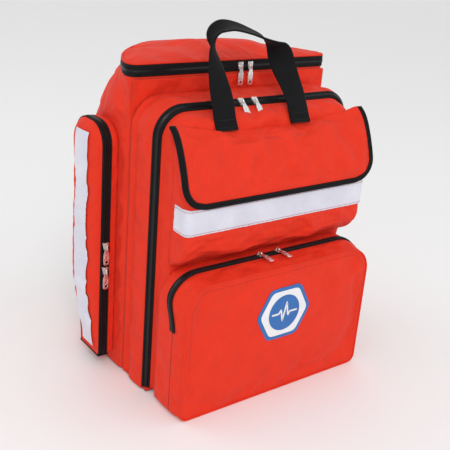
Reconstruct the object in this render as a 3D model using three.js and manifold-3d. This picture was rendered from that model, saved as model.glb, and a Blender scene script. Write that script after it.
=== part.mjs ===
// Trauma backpack: a tall zipped main compartment with a hinged lid, a full-height front compartment
// that carries a flapped upper pocket and a zipped lower pocket, two side pockets and a carry handle.
// Millimetres. +X is the wearer-facing viewer's right, the front faces -Y, +Z is up.
// The origin is the middle of the base, on the ground.

import * as THREE from 'three';
import { mergeVertices } from 'three/addons/utils/BufferGeometryUtils.js';
import Module from 'manifold-3d';

const wasm = await Module();
wasm.setup();

// ---- driving dimensions ----
const GAP = 0.4;
const WALL = 3;
const TAPE = 1.5;
const WEBBING_WIDTH = 38;

const HALF_WIDTH = 178;
const MAIN_FRONT_Y = -14;
const MAIN_REAR_Y = 135;
const BASE_THICK = 5;
const LID_TAPE_LOW_Z = 463;
const LID_TAPE_MID_Z = 472;
const LID_TAPE_TOP_Z = 481;
const LID_CROWN_Z = 497;
const SHOULDER_START_Z = 350;

const FRONT_GUSSET_FRONT_Y = -72;
const FRONT_TOP_Z = 440;
const FRONT_CORNER_R = 45;
const ZIP_BAND = 12;
const PANEL_REAR_Y = -84.4;
const PANEL_FRONT_Y = -110;
const PANEL_TOP_Z = 428;
const PANEL_TOP_DROP = 18;

const UPPER_HALF_WIDTH = 164;
const UPPER_BOTTOM_Z = 222;
const UPPER_FRONT_Y = -149;
const BAND_LOW_Z = 276;
const BAND_HIGH_Z = 314;

const FLAP_HALF_WIDTH = 172;
const FLAP_TOP_Z = 417;
const FLAP_CORNER = 33;

const LOWER_HALF_WIDTH = 178;
const LOWER_TOP_Z = 215;
const LOWER_FRONT_Y = -174;
const LOWER_ZIP_Y = -136;
const LOWER_CORNER_R = 42;
const LOWER_FOLD_Z = 92;

const SIDE_FRONT_Y = 14;
const SIDE_REAR_Y = 98;
const SIDE_CORNER_R = 32;
const SIDE_LOW_Z = 20;
const SIDE_TOP_Z = 391;
const SIDE_ZIP_X = 196.2;
const SIDE_ZIP_HALF = 8;
const SIDE_OUTER_X = 216;
const SIDE_REAR_SLOPE = 10;
const SIDE_BAND_FRONT_Y = 34;
const SIDE_BAND_LOW_Z = 40;
const SIDE_BAND_HIGH_Z = 366;

const FABRIC = { color: 0xe8402a, roughness: 0.85, metalness: 0 };
const LINING = { color: 0x2a2a2e, roughness: 0.9, metalness: 0 };
const WEB = { color: 0x17181a, roughness: 0.75, metalness: 0 };
const SILVER = { color: 0xd2d3e0, roughness: 0.4, metalness: 0.2 };
const NICKEL = { color: 0xc9cacc, roughness: 0.3, metalness: 0.9 };
const PADDING = { color: 0x222326, roughness: 0.95, metalness: 0 };
const BOARD = { color: 0x8e8f91, roughness: 0.6, metalness: 0 };
const PATCH = { color: 0x2b67b0, roughness: 0.6, metalness: 0 };

const group = new THREE.Group();

// ---- helpers ----
function vector(x, y, z) {
  return new THREE.Vector3(x, y, z);
}

function signedVolume(positions, index) {
  let sum = 0;
  for (let i = 0; i < index.length; i += 3) {
    const a = positions[index[i]];
    const b = positions[index[i + 1]];
    const c = positions[index[i + 2]];
    sum += a.dot(new THREE.Vector3().crossVectors(b, c));
  }
  return sum;
}

function closedGeometry(points, index) {
  const centre = vector(0, 0, 0);
  points.forEach((p) => centre.addScaledVector(p, 1 / points.length));
  const moved = points.map((p) => p.clone().sub(centre));
  const ordered = [...index];
  if (signedVolume(moved, ordered) < 0) {
    for (let i = 0; i < ordered.length; i += 3) {
      [ordered[i + 1], ordered[i + 2]] = [ordered[i + 2], ordered[i + 1]];
    }
  }
  const geometry = new THREE.BufferGeometry();
  geometry.setAttribute('position', new THREE.Float32BufferAttribute(points.flatMap((p) => [p.x, p.y, p.z]), 3));
  geometry.setIndex(ordered);
  return geometry;
}

// A solid through equal-sized closed polygons; a looped one joins its last section to its first.
function loft(sections, looped = false) {
  const count = sections[0].length;
  const points = sections.flat();
  const index = [];
  const last = looped ? sections.length : sections.length - 1;
  for (let s = 0; s < last; s += 1) {
    const low = s * count;
    const high = ((s + 1) % sections.length) * count;
    for (let k = 0; k < count; k += 1) {
      const next = (k + 1) % count;
      index.push(low + k, low + next, high + next);
      index.push(low + k, high + next, high + k);
    }
  }
  if (!looped) {
    const end = (sections.length - 1) * count;
    capTriangles(sections[0]).forEach(([a, b, c]) => index.push(c, b, a));
    capTriangles(sections[sections.length - 1]).forEach(([a, b, c]) => index.push(end + a, end + b, end + c));
  }
  return closedGeometry(points, index);
}

function capTriangles(polygon) {
  const normal = vector(0, 0, 0);
  polygon.forEach((p, i) => {
    const q = polygon[(i + 1) % polygon.length];
    normal.add(vector((p.y - q.y) * (p.z + q.z), (p.z - q.z) * (p.x + q.x), (p.x - q.x) * (p.y + q.y)));
  });
  normal.normalize();
  const seed = Math.abs(normal.z) < 0.8 ? vector(0, 0, 1) : vector(1, 0, 0);
  const across = new THREE.Vector3().crossVectors(seed, normal).normalize();
  const along = new THREE.Vector3().crossVectors(normal, across);
  const flat = polygon.map((p) => new THREE.Vector2(p.dot(across), p.dot(along)));
  return THREE.ShapeUtils.triangulateShape(flat, []);
}

// Sweeps a section [[out, rise], ...] along a flat path; rise runs along the plane's normal.
function sweep(path, normal, section, looped = false) {
  const total = path.length;
  const sections = path.map((point, i) => {
    const before = path[looped ? (i + total - 1) % total : Math.max(i - 1, 0)];
    const after = path[looped ? (i + 1) % total : Math.min(i + 1, total - 1)];
    const inward = point.clone().sub(before).normalize();
    const onward = after.clone().sub(point).normalize();
    if (point === before) inward.copy(onward);
    if (point === after) onward.copy(inward);
    const tangent = inward.clone().add(onward).normalize();
    const stretch = 1 / Math.max(tangent.dot(onward), 0.5);
    const side = new THREE.Vector3().crossVectors(tangent, normal).multiplyScalar(stretch);
    return section.map(([out, rise]) => point.clone().addScaledVector(side, out).addScaledVector(normal, rise));
  });
  return loft(sections, looped);
}

function rectangle(outLow, outHigh, riseLow, riseHigh) {
  return [[outLow, riseLow], [outHigh, riseLow], [outHigh, riseHigh], [outLow, riseHigh]];
}

// An upside-down U in the XZ plane from the left foot over the top to the right foot.
function archPath(halfWidth, low, top, radius, y, steps = 7) {
  const path = [vector(-halfWidth, y, low)];
  for (let i = 0; i <= steps; i += 1) {
    const angle = Math.PI - (Math.PI / 2) * (i / steps);
    path.push(vector(-halfWidth + radius + radius * Math.cos(angle), y, top - radius + radius * Math.sin(angle)));
  }
  for (let i = 0; i <= steps; i += 1) {
    const angle = Math.PI / 2 - (Math.PI / 2) * (i / steps);
    path.push(vector(halfWidth - radius + radius * Math.cos(angle), y, top - radius + radius * Math.sin(angle)));
  }
  path.push(vector(halfWidth, y, low));
  return path;
}

function toSolid(geometry) {
  const bare = geometry.clone();
  bare.deleteAttribute('normal');
  bare.deleteAttribute('uv');
  const merged = mergeVertices(bare, 1e-4);
  const vertProperties = Float32Array.from(merged.attributes.position.array);
  const triVerts = Uint32Array.from(merged.index.array);
  return new wasm.Manifold(new wasm.Mesh({ numProp: 3, vertProperties, triVerts }));
}

function fromSolid(solid) {
  const mesh = solid.getMesh();
  const geometry = new THREE.BufferGeometry();
  geometry.setAttribute('position', new THREE.Float32BufferAttribute(mesh.vertProperties, 3));
  geometry.setIndex([...mesh.triVerts]);
  return geometry;
}

function cut(body, ...tools) {
  let solid = toSolid(body);
  tools.forEach((tool) => {
    solid = solid.subtract(toSolid(tool));
  });
  return fromSolid(solid);
}

function join(...bodies) {
  let solid = toSolid(bodies[0]);
  bodies.slice(1).forEach((body) => {
    solid = solid.add(toSolid(body));
  });
  return fromSolid(solid);
}

function box(x0, x1, y0, y1, z0, z1) {
  const geometry = new THREE.BoxGeometry(x1 - x0, y1 - y0, z1 - z0);
  geometry.translate((x0 + x1) / 2, (y0 + y1) / 2, (z0 + z1) / 2);
  return geometry;
}

// A solid whose flat outline lies in the YZ plane and which runs from x0 to x1.
function profileYZ(outline, x0, x1) {
  return loft([x0, x1].map((x) => outline.map(([y, z]) => vector(x, y, z))));
}

function mirrored(geometry) {
  const flipped = geometry.clone();
  flipped.scale(-1, 1, 1);
  const index = flipped.index.array;
  for (let i = 0; i < index.length; i += 3) {
    [index[i + 1], index[i + 2]] = [index[i + 2], index[i + 1]];
  }
  return flipped;
}

function add(name, geometry, look) {
  const mesh = new THREE.Mesh(geometry, new THREE.MeshStandardMaterial(look));
  mesh.name = name;
  group.add(mesh);
  return mesh;
}

function addPair(stem, leftGeometry, look) {
  add(`${stem}_left`, leftGeometry, look);
  add(`${stem}_right`, mirrored(leftGeometry), look);
}

// ---- main compartment ----
// The rear corners grow from small and round at the base to a wide slope at the lid.
function cornerSize(z) {
  const t = THREE.MathUtils.clamp((z - SHOULDER_START_Z) / (LID_TAPE_MID_Z - SHOULDER_START_Z), 0, 1);
  return { x: 30 + 88 * t ** 1.3, y: 30 + 104 * t ** 0.75, power: 2 - 0.6 * t };
}

function rearCorner(z, inset, steps = 6) {
  const size = cornerSize(z);
  const points = [];
  for (let i = 0; i <= steps; i += 1) {
    const angle = (Math.PI / 2) * (i / steps);
    const dx = Math.cos(angle) ** (2 / size.power);
    const dy = Math.sin(angle) ** (2 / size.power);
    const x = -(HALF_WIDTH - size.x) - (size.x - inset) * dx;
    const y = MAIN_REAR_Y - size.y + (size.y - inset) * dy;
    points.push([x, y]);
  }
  return points;
}

const wallLevels = [BASE_THICK + GAP, SHOULDER_START_Z, 375, 400, 425, 445, LID_TAPE_LOW_Z - GAP];

const baseRear = rearCorner(0, WALL + GAP);
const basePlan = [
  [-HALF_WIDTH + WALL + GAP, -83.8],
  ...baseRear,
  ...[...baseRear].reverse().map(([x, y]) => [-x, y]),
  [HALF_WIDTH - WALL - GAP, -83.8],
];
add('base_panel', loft([0, BASE_THICK].map((z) => basePlan.map(([x, y]) => vector(x, y, z)))), FABRIC);

const sideOutline = wallLevels.map((z) => [MAIN_REAR_Y - cornerSize(z).y - GAP, z]);
sideOutline.push([MAIN_FRONT_Y + GAP, LID_TAPE_LOW_Z - GAP], [MAIN_FRONT_Y + GAP, BASE_THICK + GAP]);
addPair('side_panel', profileYZ(sideOutline, -HALF_WIDTH, -HALF_WIDTH + WALL), FABRIC);

const rearSections = wallLevels.map((z) => {
  const outer = rearCorner(z, 0);
  const inner = rearCorner(z, WALL);
  const left = outer.map(([x, y]) => vector(x, y, z));
  const right = [...outer].reverse().map(([x, y]) => vector(-x, y, z));
  const rightInner = inner.map(([x, y]) => vector(-x, y, z));
  const leftInner = [...inner].reverse().map(([x, y]) => vector(x, y, z));
  return [...left, ...right, ...rightInner, ...leftInner];
});
add('rear_panel', loft(rearSections), FABRIC);

add(
  'compartment_divider',
  box(-HALF_WIDTH, HALF_WIDTH, MAIN_FRONT_Y - WALL, MAIN_FRONT_Y, BASE_THICK + GAP, LID_TAPE_LOW_Z - GAP),
  FABRIC
);
add('frame_sheet', box(-120, 120, 128, 131, BASE_THICK + GAP, 400), BOARD);

// ---- lid and its zip ----
const LID_CORNER_R = 14;
function lidOutline() {
  const rear = rearCorner(LID_TAPE_MID_Z, 0, 7).reverse();
  const left = rear.map(([x, y]) => [x, y]);
  for (let i = 0; i <= 3; i += 1) {
    const angle = (Math.PI / 2) * (i / 3);
    const x = -HALF_WIDTH + LID_CORNER_R - LID_CORNER_R * Math.cos(angle);
    const y = MAIN_FRONT_Y + LID_CORNER_R - LID_CORNER_R * Math.sin(angle);
    left.push([x, y]);
  }
  const right = [...left].reverse().map(([x, y]) => [-x, y]);
  return [...left, ...right];
}

const lidPlan = lidOutline();
const lidTrack = lidPlan.map(([x, y]) => vector(x, y, 0));
const UP = vector(0, 0, 1);
function lidTape(low, high) {
  return sweep(lidTrack, UP, rectangle(-TAPE, 0, low, high), true);
}
add('lid_zip_lower_tape', lidTape(LID_TAPE_LOW_Z, LID_TAPE_MID_Z - GAP), WEB);
add('lid_zip_upper_tape', lidTape(LID_TAPE_MID_Z, LID_TAPE_TOP_Z), WEB);

const LID_CENTRE_Y = 60;
function lidRing(scale, z) {
  return lidPlan.map(([x, y]) => vector(x * scale, LID_CENTRE_Y + (y - LID_CENTRE_Y) * scale, z));
}

function dome(rings, crownOut, crownIn) {
  const count = rings[0].length;
  const points = rings.flat();
  const index = [];
  for (let r = 0; r < rings.length - 1; r += 1) {
    for (let k = 0; k < count; k += 1) {
      const next = (k + 1) % count;
      const low = r * count;
      const high = low + count;
      index.push(low + k, low + next, high + next, low + k, high + next, high + k);
    }
  }
  const inTip = points.push(crownIn) - 1;
  const outTip = points.push(crownOut) - 1;
  const lastRing = (rings.length - 1) * count;
  for (let k = 0; k < count; k += 1) {
    const next = (k + 1) % count;
    index.push(inTip, next, k);
    index.push(outTip, lastRing + k, lastRing + next);
  }
  return closedGeometry(points, index);
}

const lidLow = LID_TAPE_TOP_Z + GAP;
const lidRings = [
  lidRing(0.6, LID_CROWN_Z - 1.5 - WALL),
  lidRing(0.955, lidLow + 8 - WALL),
  lidRing(0.965, lidLow),
  lidRing(1, lidLow),
  lidRing(0.985, lidLow + 6),
  lidRing(0.9, lidLow + 11.5),
  lidRing(0.6, LID_CROWN_Z - 1.5),
];
const crown = vector(0, LID_CENTRE_Y, LID_CROWN_Z);
add('top_lid', dome(lidRings, crown, vector(0, LID_CENTRE_Y, LID_CROWN_Z - WALL)), FABRIC);

// ---- front compartment ----
const BACKWARD = vector(0, 1, 0);
const frontArch = archPath(HALF_WIDTH, BASE_THICK + GAP, FRONT_TOP_Z, FRONT_CORNER_R, 0);
const dividerFrontY = MAIN_FRONT_Y - WALL - GAP;
add('front_gusset', sweep(frontArch, BACKWARD, rectangle(-WALL, 0, FRONT_GUSSET_FRONT_Y, dividerFrontY)), FABRIC);

// A zip tape that slants at 45 degrees round the front edge; start and end are measured across the band.
function slantedTape(start, end) {
  const rearEdgeY = FRONT_GUSSET_FRONT_Y - GAP;
  const sunk = TAPE * Math.SQRT1_2;
  return [
    [-start, rearEdgeY - start],
    [-end, rearEdgeY - end],
    [-end - sunk, rearEdgeY - end + sunk],
    [-start - sunk, rearEdgeY - start + sunk],
  ];
}

const bandPath = archPath(HALF_WIDTH, BASE_THICK + 5, FRONT_TOP_Z, FRONT_CORNER_R, 0);
add('front_zip_rear_tape', sweep(bandPath, BACKWARD, slantedTape(1.2, 5.8)), WEB);
add('front_zip_front_tape', sweep(bandPath, BACKWARD, slantedTape(6.4, 11.2)), WEB);

// The front panel is a shallow tray, open at the rear, whose rim slopes in towards its face.
function panelOutline(inset, drop, y) {
  const half = HALF_WIDTH - ZIP_BAND - 0.4 - inset;
  const low = BASE_THICK + 3 + Math.min(inset, 6);
  return archPath(half, low, PANEL_TOP_Z - inset - drop, FRONT_CORNER_R - 10, y, 5);
}
const panelOuter = loft([panelOutline(0, 0, PANEL_REAR_Y), panelOutline(1, PANEL_TOP_DROP, PANEL_FRONT_Y)]);
const panelInner = loft([
  panelOutline(WALL, 0, PANEL_REAR_Y + 5),
  panelOutline(WALL, 0, PANEL_REAR_Y),
  panelOutline(WALL + 1, PANEL_TOP_DROP, PANEL_FRONT_Y + WALL),
]);
add('front_panel', cut(panelOuter, panelInner), FABRIC);

// ---- upper pocket, its reflective band and its flap ----
const pocketRearY = PANEL_FRONT_Y - GAP;
const upperOutside = [
  [pocketRearY, UPPER_BOTTOM_Z],
  [UPPER_FRONT_Y + 1, 246],
  [UPPER_FRONT_Y, 262],
  [UPPER_FRONT_Y, 345],
  [-128, 398],
  [pocketRearY, 398],
];
const upperInside = [
  [-90, 213],
  [UPPER_FRONT_Y + 1 + WALL, 250],
  [UPPER_FRONT_Y + WALL, 262],
  [UPPER_FRONT_Y + WALL, 344],
  [-124.5, 399],
  [-124.5, 420],
  [-90, 420],
];
add('upper_pocket', cut(
  profileYZ(upperOutside, -UPPER_HALF_WIDTH, UPPER_HALF_WIDTH),
  profileYZ(upperInside, -UPPER_HALF_WIDTH + WALL, UPPER_HALF_WIDTH - WALL)
), FABRIC);

const bandTrack = [
  vector(-UPPER_HALF_WIDTH - GAP, pocketRearY - 1, 0),
  vector(-UPPER_HALF_WIDTH - GAP, UPPER_FRONT_Y - GAP, 0),
  vector(UPPER_HALF_WIDTH + GAP, UPPER_FRONT_Y - GAP, 0),
  vector(UPPER_HALF_WIDTH + GAP, pocketRearY - 1, 0),
];
add('front_reflective_band', sweep(bandTrack, UP, rectangle(0, 1, BAND_LOW_Z, BAND_HIGH_Z)), SILVER);

const flapLine = [[-111, FLAP_TOP_Z - 2.5], [-129, 399.5], [-150.2, 347], [-151, 330], [-151.4, 316]];
// How much narrower the flap is at each point of its side view.
const flapNarrowing = [0, 0, 4, 12, FLAP_CORNER];
const flapSections = flapLine.map(([y, z], i) => {
  const half = FLAP_HALF_WIDTH - flapNarrowing[i];
  const ahead = flapLine[Math.min(i + 1, flapLine.length - 1)];
  const behind = flapLine[Math.max(i - 1, 0)];
  const run = new THREE.Vector2(ahead[0] - behind[0], ahead[1] - behind[1]).normalize();
  const outY = y + run.y * WALL;
  const outZ = z - run.x * WALL;
  return [vector(-half, y, z), vector(half, y, z), vector(half, outY, outZ), vector(-half, outY, outZ)];
});
add('pocket_flap', loft(flapSections), FABRIC);

// ---- lower pocket ----
const lowerRearY = PANEL_FRONT_Y - GAP;
const lowerTapeRearY = LOWER_ZIP_Y + 6;
const lowerArch = (low) => archPath(LOWER_HALF_WIDTH - 1, low, LOWER_TOP_Z, LOWER_CORNER_R, 0, 5);
const inside = (low, high, depth) => rectangle(-depth, 0, low, high);
add('lower_pocket_gusset',
  sweep(lowerArch(LOWER_FOLD_Z), BACKWARD, inside(lowerTapeRearY + GAP, lowerRearY, WALL)), FABRIC);
add('lower_zip_rear_tape',
  sweep(lowerArch(LOWER_FOLD_Z), BACKWARD, inside(LOWER_ZIP_Y + 0.2, lowerTapeRearY, TAPE)), WEB);
add('lower_zip_front_tape',
  sweep(lowerArch(LOWER_FOLD_Z + GAP), BACKWARD, inside(LOWER_ZIP_Y - 5.6, LOWER_ZIP_Y - 0.2, TAPE)), WEB);

const trayRearY = LOWER_ZIP_Y - 5.6 - GAP;
const trayOuter = loft([trayRearY, LOWER_FRONT_Y].map((y) => {
  const inset = y === LOWER_FRONT_Y ? 1.5 : 1;
  return archPath(LOWER_HALF_WIDTH - inset, LOWER_FOLD_Z + GAP, LOWER_TOP_Z - inset + 1, LOWER_CORNER_R, y, 5);
}));
const trayInner = loft([trayRearY + 5, LOWER_FRONT_Y + WALL].map((y) =>
  archPath(LOWER_HALF_WIDTH - 1 - WALL, LOWER_FOLD_Z - 20, LOWER_TOP_Z - WALL, LOWER_CORNER_R - WALL, y, 5)));
add('lower_pocket_front', cut(trayOuter, trayInner), FABRIC);

const binTop = LOWER_FOLD_Z - GAP;
const binHalf = LOWER_HALF_WIDTH - 1;
add('lower_pocket_base', cut(
  box(-binHalf, binHalf, LOWER_FRONT_Y, lowerRearY, 0, binTop),
  box(-binHalf + WALL, binHalf - WALL, LOWER_FRONT_Y + WALL, -90, WALL, LOWER_FOLD_Z + 20)
), FABRIC);

// A plain six-sided patch.
const BADGE_X = 1;
const BADGE_Z = 137;
const badgeOutline = [[-49, 0], [-27, 40], [27, 40], [49, 0], [27, -40], [-27, -40]];
const badgeY = LOWER_FRONT_Y - GAP;
add('badge', loft([badgeY, badgeY - 2].map((y) =>
  badgeOutline.map(([x, z]) => vector(x + BADGE_X, y, z + BADGE_Z)))), PATCH);

// ---- side pockets, built on the left and mirrored ----
const OUTWARD = vector(-1, 0, 0);
function sideTrack(low, inset = 0, radius = SIDE_CORNER_R, rearSlope = 0, steps = 6) {
  const front = SIDE_FRONT_Y + inset;
  const rear = SIDE_REAR_Y - inset - rearSlope;
  const top = SIDE_TOP_Z - inset;
  const path = [vector(0, front, low)];
  for (let i = 0; i <= steps; i += 1) {
    const angle = Math.PI - (Math.PI / 2) * (i / steps);
    path.push(vector(0, front + radius + radius * Math.cos(angle), top - radius + radius * Math.sin(angle)));
  }
  for (let i = 0; i <= steps; i += 1) {
    const angle = Math.PI / 2 - (Math.PI / 2) * (i / steps);
    path.push(vector(0, rear - radius + radius * Math.cos(angle), top - radius + radius * Math.sin(angle)));
  }
  path.push(vector(0, rear, low));
  return path;
}

const zipInnerX = SIDE_ZIP_X - SIDE_ZIP_HALF;
const zipOuterX = SIDE_ZIP_X + SIDE_ZIP_HALF;
function sideRing(inset, x, rearSlope = 0) {
  const radius = SIDE_CORNER_R - inset;
  return sideTrack(SIDE_LOW_Z + inset, inset, radius, rearSlope).map((p) => vector(-x, p.y, p.z));
}

const gussetOuter = loft([sideRing(0, HALF_WIDTH + GAP), sideRing(0, zipInnerX - GAP)]);
const gussetInner = loft([sideRing(WALL, HALF_WIDTH - 5), sideRing(WALL, zipInnerX + 5)]);
addPair('side_pocket_gusset', cut(gussetOuter, gussetInner), FABRIC);

function sideTape(from, to) {
  return sweep(sideTrack(SIDE_LOW_Z), OUTWARD, rectangle(-TAPE, 0, from, to), true);
}
addPair('side_zip_inner_tape', sideTape(zipInnerX, SIDE_ZIP_X - 0.2), WEB);
addPair('side_zip_outer_tape', sideTape(SIDE_ZIP_X + 0.2, zipOuterX), WEB);

const coverOuter = loft([
  sideRing(0, zipOuterX + GAP),
  sideRing(4, SIDE_OUTER_X - 4, SIDE_REAR_SLOPE),
  sideRing(14, SIDE_OUTER_X, SIDE_REAR_SLOPE),
]);
const coverInner = loft([
  sideRing(WALL, zipOuterX - 4),
  sideRing(4 + WALL, SIDE_OUTER_X - 4 - 2, SIDE_REAR_SLOPE),
  sideRing(14 + WALL, SIDE_OUTER_X - WALL, SIDE_REAR_SLOPE),
]);
addPair('side_pocket_cover', cut(coverOuter, coverInner), FABRIC);
const sideBandRearY = SIDE_BAND_FRONT_Y + WEBBING_WIDTH;
addPair('side_reflective_band', box(
  -SIDE_OUTER_X - GAP - 1,
  -SIDE_OUTER_X - GAP,
  SIDE_BAND_FRONT_Y,
  sideBandRearY,
  SIDE_BAND_LOW_Z,
  SIDE_BAND_HIGH_Z
), SILVER);

// ---- carry handle: a strap loop whose legs turn a quarter before meeting on top ----
const HANDLE_FOOT_Y = -104;
const HANDLE_FOOT_Z = 419.4;
const handleStations = [
  { x: -84, y: HANDLE_FOOT_Y, z: HANDLE_FOOT_Z, turn: 0 },
  { x: -84, y: -103.5, z: 436, turn: 0 },
  { x: -92, y: -94, z: 462, turn: 0.15 },
  { x: -98, y: -80, z: 494, turn: 0.6 },
  { x: -98, y: -70, z: 516, turn: 1 },
  { x: -90, y: -64, z: 532, turn: 1 },
  { x: -72, y: -61, z: 540, turn: 1 },
  { x: -40, y: -62, z: 536, turn: 1 },
  { x: -6, y: -64, z: 528, turn: 1 },
  { x: 18, y: -66, z: 520, turn: 1 },
  { x: 33, y: -72, z: 504, turn: 0.9 },
  { x: 40, y: -82, z: 478, turn: 0.5 },
  { x: 47, y: -95, z: 452, turn: 0.12 },
  { x: 48, y: -103.5, z: 434, turn: 0 },
  { x: 48, y: HANDLE_FOOT_Y, z: HANDLE_FOOT_Z, turn: 0 },
];
const HANDLE_THICK = 2.6;
const handleSections = handleStations.map((station, i) => {
  const centre = vector(station.x, station.y, station.z);
  const before = handleStations[Math.max(i - 1, 0)];
  const after = handleStations[Math.min(i + 1, handleStations.length - 1)];
  const tangent = vector(after.x - before.x, after.y - before.y, after.z - before.z).normalize();
  const flat = vector(i < handleStations.length / 2 ? 1 : -1, 0, 0);
  const deep = vector(0, 1, 0);
  const angle = station.turn * (Math.PI / 2);
  const wide = flat.multiplyScalar(Math.cos(angle)).addScaledVector(deep, Math.sin(angle));
  wide.addScaledVector(tangent, -wide.dot(tangent)).normalize();
  const thick = new THREE.Vector3().crossVectors(tangent, wide).normalize();
  const corner = (a, b) => centre.clone()
    .addScaledVector(wide, (a * WEBBING_WIDTH) / 2)
    .addScaledVector(thick, (b * HANDLE_THICK) / 2);
  return [corner(-1, -1), corner(1, -1), corner(1, 1), corner(-1, 1)];
});
add('carry_handle', loft(handleSections), WEB);

// ---- back: pad, shoulder straps and adjuster straps ----
add('back_pad', box(-115, 115, MAIN_REAR_Y + GAP, MAIN_REAR_Y + 12, 80, 340), PADDING);

function strip(points, width, thick, bottomX, topX) {
  const sections = points.map(([y, z], i) => {
    const ahead = points[Math.min(i + 1, points.length - 1)];
    const behind = points[Math.max(i - 1, 0)];
    const run = new THREE.Vector2(ahead[0] - behind[0], ahead[1] - behind[1]).normalize();
    const t = (z - points[points.length - 1][1]) / (points[0][1] - points[points.length - 1][1]);
    const x = bottomX + (topX - bottomX) * t;
    const outY = y - run.y * thick;
    const outZ = z + run.x * thick;
    const half = width / 2;
    return [
      vector(x - half, y, z),
      vector(x + half, y, z),
      vector(x + half, outY, outZ),
      vector(x - half, outY, outZ),
    ];
  });
  return loft(sections);
}
// Side views (y, z) of the shoulder strap and its adjuster, from top to bottom.
const STRAP_WIDTH = 62;
const STRAP_THICK = 11;
const ADJUSTER_WIDTH = 25;
const ADJUSTER_THICK = 2.2;
const strapLine = [[136, 402], [141, 388], [160, 356], [175, 305], [179, 250], [176, 200], [170, 168]];
addPair('shoulder_strap', strip(strapLine, STRAP_WIDTH, STRAP_THICK, -100, -62), PADDING);

const adjusterLine = [[172, 152], [163, 110], [153, 70], [143, 44], [135.6, 30]];
addPair('strap_webbing', strip(adjusterLine, ADJUSTER_WIDTH, ADJUSTER_THICK, -140, -104), WEB);

const buckleBody = box(-118, -86, 168, 176, 153.5, 166.5);
const buckleSlot = box(-114, -90, 160, 190, 157, 163);
addPair('ladder_lock', cut(buckleBody, buckleSlot), WEB);

// ---- zip sliders and pulls ----
const PLATE = 2.8;
const BAR_HEIGHT = PLATE + 1.6;
const PULL_LENGTH = 30;

// Local frame: +X along the pull's hinge, -Z where the pull hangs, -Y away from the fabric.
function sliderGeometry() {
  const body = box(-4.5, 4.5, -PLATE, 0, -6, 6);
  const arch = box(-1, 1, -PLATE - 4.4, -PLATE + 0.3, -3.4, 3.4);
  const eye = box(-3, 3, -PLATE - 3.2, -PLATE - 0.01, -2.2, 2.2);
  return join(body, cut(arch, eye));
}

// A solid whose flat outline lies in the XZ plane and which runs from y0 to y1.
function profileXZ(outline, y0, y1) {
  return loft([y0, y1].map((y) => outline.map(([x, z]) => vector(x, y, z))));
}

function pullGeometry() {
  const right = [[2.6, 0.6], [3, -7], [4.5, -11], [4.5, -PULL_LENGTH + 4], [2.5, -PULL_LENGTH + 0.6]];
  const left = [...right].reverse().map(([x, z]) => [-x, z]);
  const hole = [];
  for (let i = 0; i < 8; i += 1) {
    const angle = (Math.PI * 2 * i) / 8;
    hole.push([2.2 * Math.cos(angle), -PULL_LENGTH + 5.4 + 2.2 * Math.sin(angle)]);
  }
  return cut(
    profileXZ([...right, ...left], -0.6, 0.6),
    box(-1.7, 1.7, -2, 2, -5.6, -0.6),
    profileXZ(hole, -2, 2)
  );
}

// turn tips the slider about X so that its outside faces away from the fabric; rest tips the pull alone.
function addZip(name, x, y, z, turn, rest) {
  const slider = add(`${name}_slider`, sliderGeometry(), NICKEL);
  slider.position.set(x, y, z);
  slider.rotation.x = turn;
  const pull = add(`${name}_pull`, pullGeometry(), NICKEL);
  const bar = vector(0, -BAR_HEIGHT, 0).applyAxisAngle(vector(1, 0, 0), turn);
  pull.position.set(x + bar.x, y + bar.y, z + bar.z);
  pull.rotation.x = turn + rest;
}

const lidFaceY = MAIN_FRONT_Y - 0.5;
addZip('lid_zip_a', 6, lidFaceY, LID_TAPE_MID_Z, 0, 0);
addZip('lid_zip_b', 24, lidFaceY, LID_TAPE_MID_Z, 0, 0);

const slant = -Math.PI / 4;
const bandMid = 6.1;
const bandOut = 0.6;
addZip('front_zip_a', -36, FRONT_GUSSET_FRONT_Y - bandMid - bandOut, FRONT_TOP_Z - bandMid + bandOut, slant, 0);
addZip('front_zip_b', -12, FRONT_GUSSET_FRONT_Y - bandMid - bandOut, FRONT_TOP_Z - bandMid + bandOut, slant, 0);

addZip('lower_zip_a', -21, LOWER_ZIP_Y, LOWER_TOP_Z + 0.6, -Math.PI / 2, 0);
addZip('lower_zip_b', 13, LOWER_ZIP_Y, LOWER_TOP_Z + 0.6, -Math.PI / 2, 0);

const sideSliderY = SIDE_FRONT_Y - 0.5;
addZip('side_zip_upper_left', -SIDE_ZIP_X, sideSliderY, 206, 0, 0);
addZip('side_zip_lower_left', -SIDE_ZIP_X, sideSliderY, 166, 0, 0);
addZip('side_zip_upper_right', SIDE_ZIP_X, sideSliderY, 206, 0, 0);
addZip('side_zip_lower_right', SIDE_ZIP_X, sideSliderY, 166, 0, 0);

export default group;
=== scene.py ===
import math
from contextlib import contextmanager

import bmesh
import bpy
import numpy as np
from mathutils import Matrix, Vector, noise
from mathutils.bvhtree import BVHTree


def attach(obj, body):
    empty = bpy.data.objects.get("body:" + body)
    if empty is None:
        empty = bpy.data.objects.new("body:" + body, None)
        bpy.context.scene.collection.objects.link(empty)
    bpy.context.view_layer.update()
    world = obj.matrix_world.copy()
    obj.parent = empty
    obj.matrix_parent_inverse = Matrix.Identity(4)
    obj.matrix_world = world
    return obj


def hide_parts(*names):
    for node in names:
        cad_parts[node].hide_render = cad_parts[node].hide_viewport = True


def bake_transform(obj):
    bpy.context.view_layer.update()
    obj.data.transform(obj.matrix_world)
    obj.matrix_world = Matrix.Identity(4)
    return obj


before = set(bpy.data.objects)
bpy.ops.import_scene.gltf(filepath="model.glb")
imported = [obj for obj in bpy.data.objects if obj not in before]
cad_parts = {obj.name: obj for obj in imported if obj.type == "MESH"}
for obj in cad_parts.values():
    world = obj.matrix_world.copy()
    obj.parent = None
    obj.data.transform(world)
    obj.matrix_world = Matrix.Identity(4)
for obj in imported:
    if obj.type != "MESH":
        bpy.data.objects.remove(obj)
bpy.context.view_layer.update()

MM = 0.001
scene = bpy.context.scene

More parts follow.
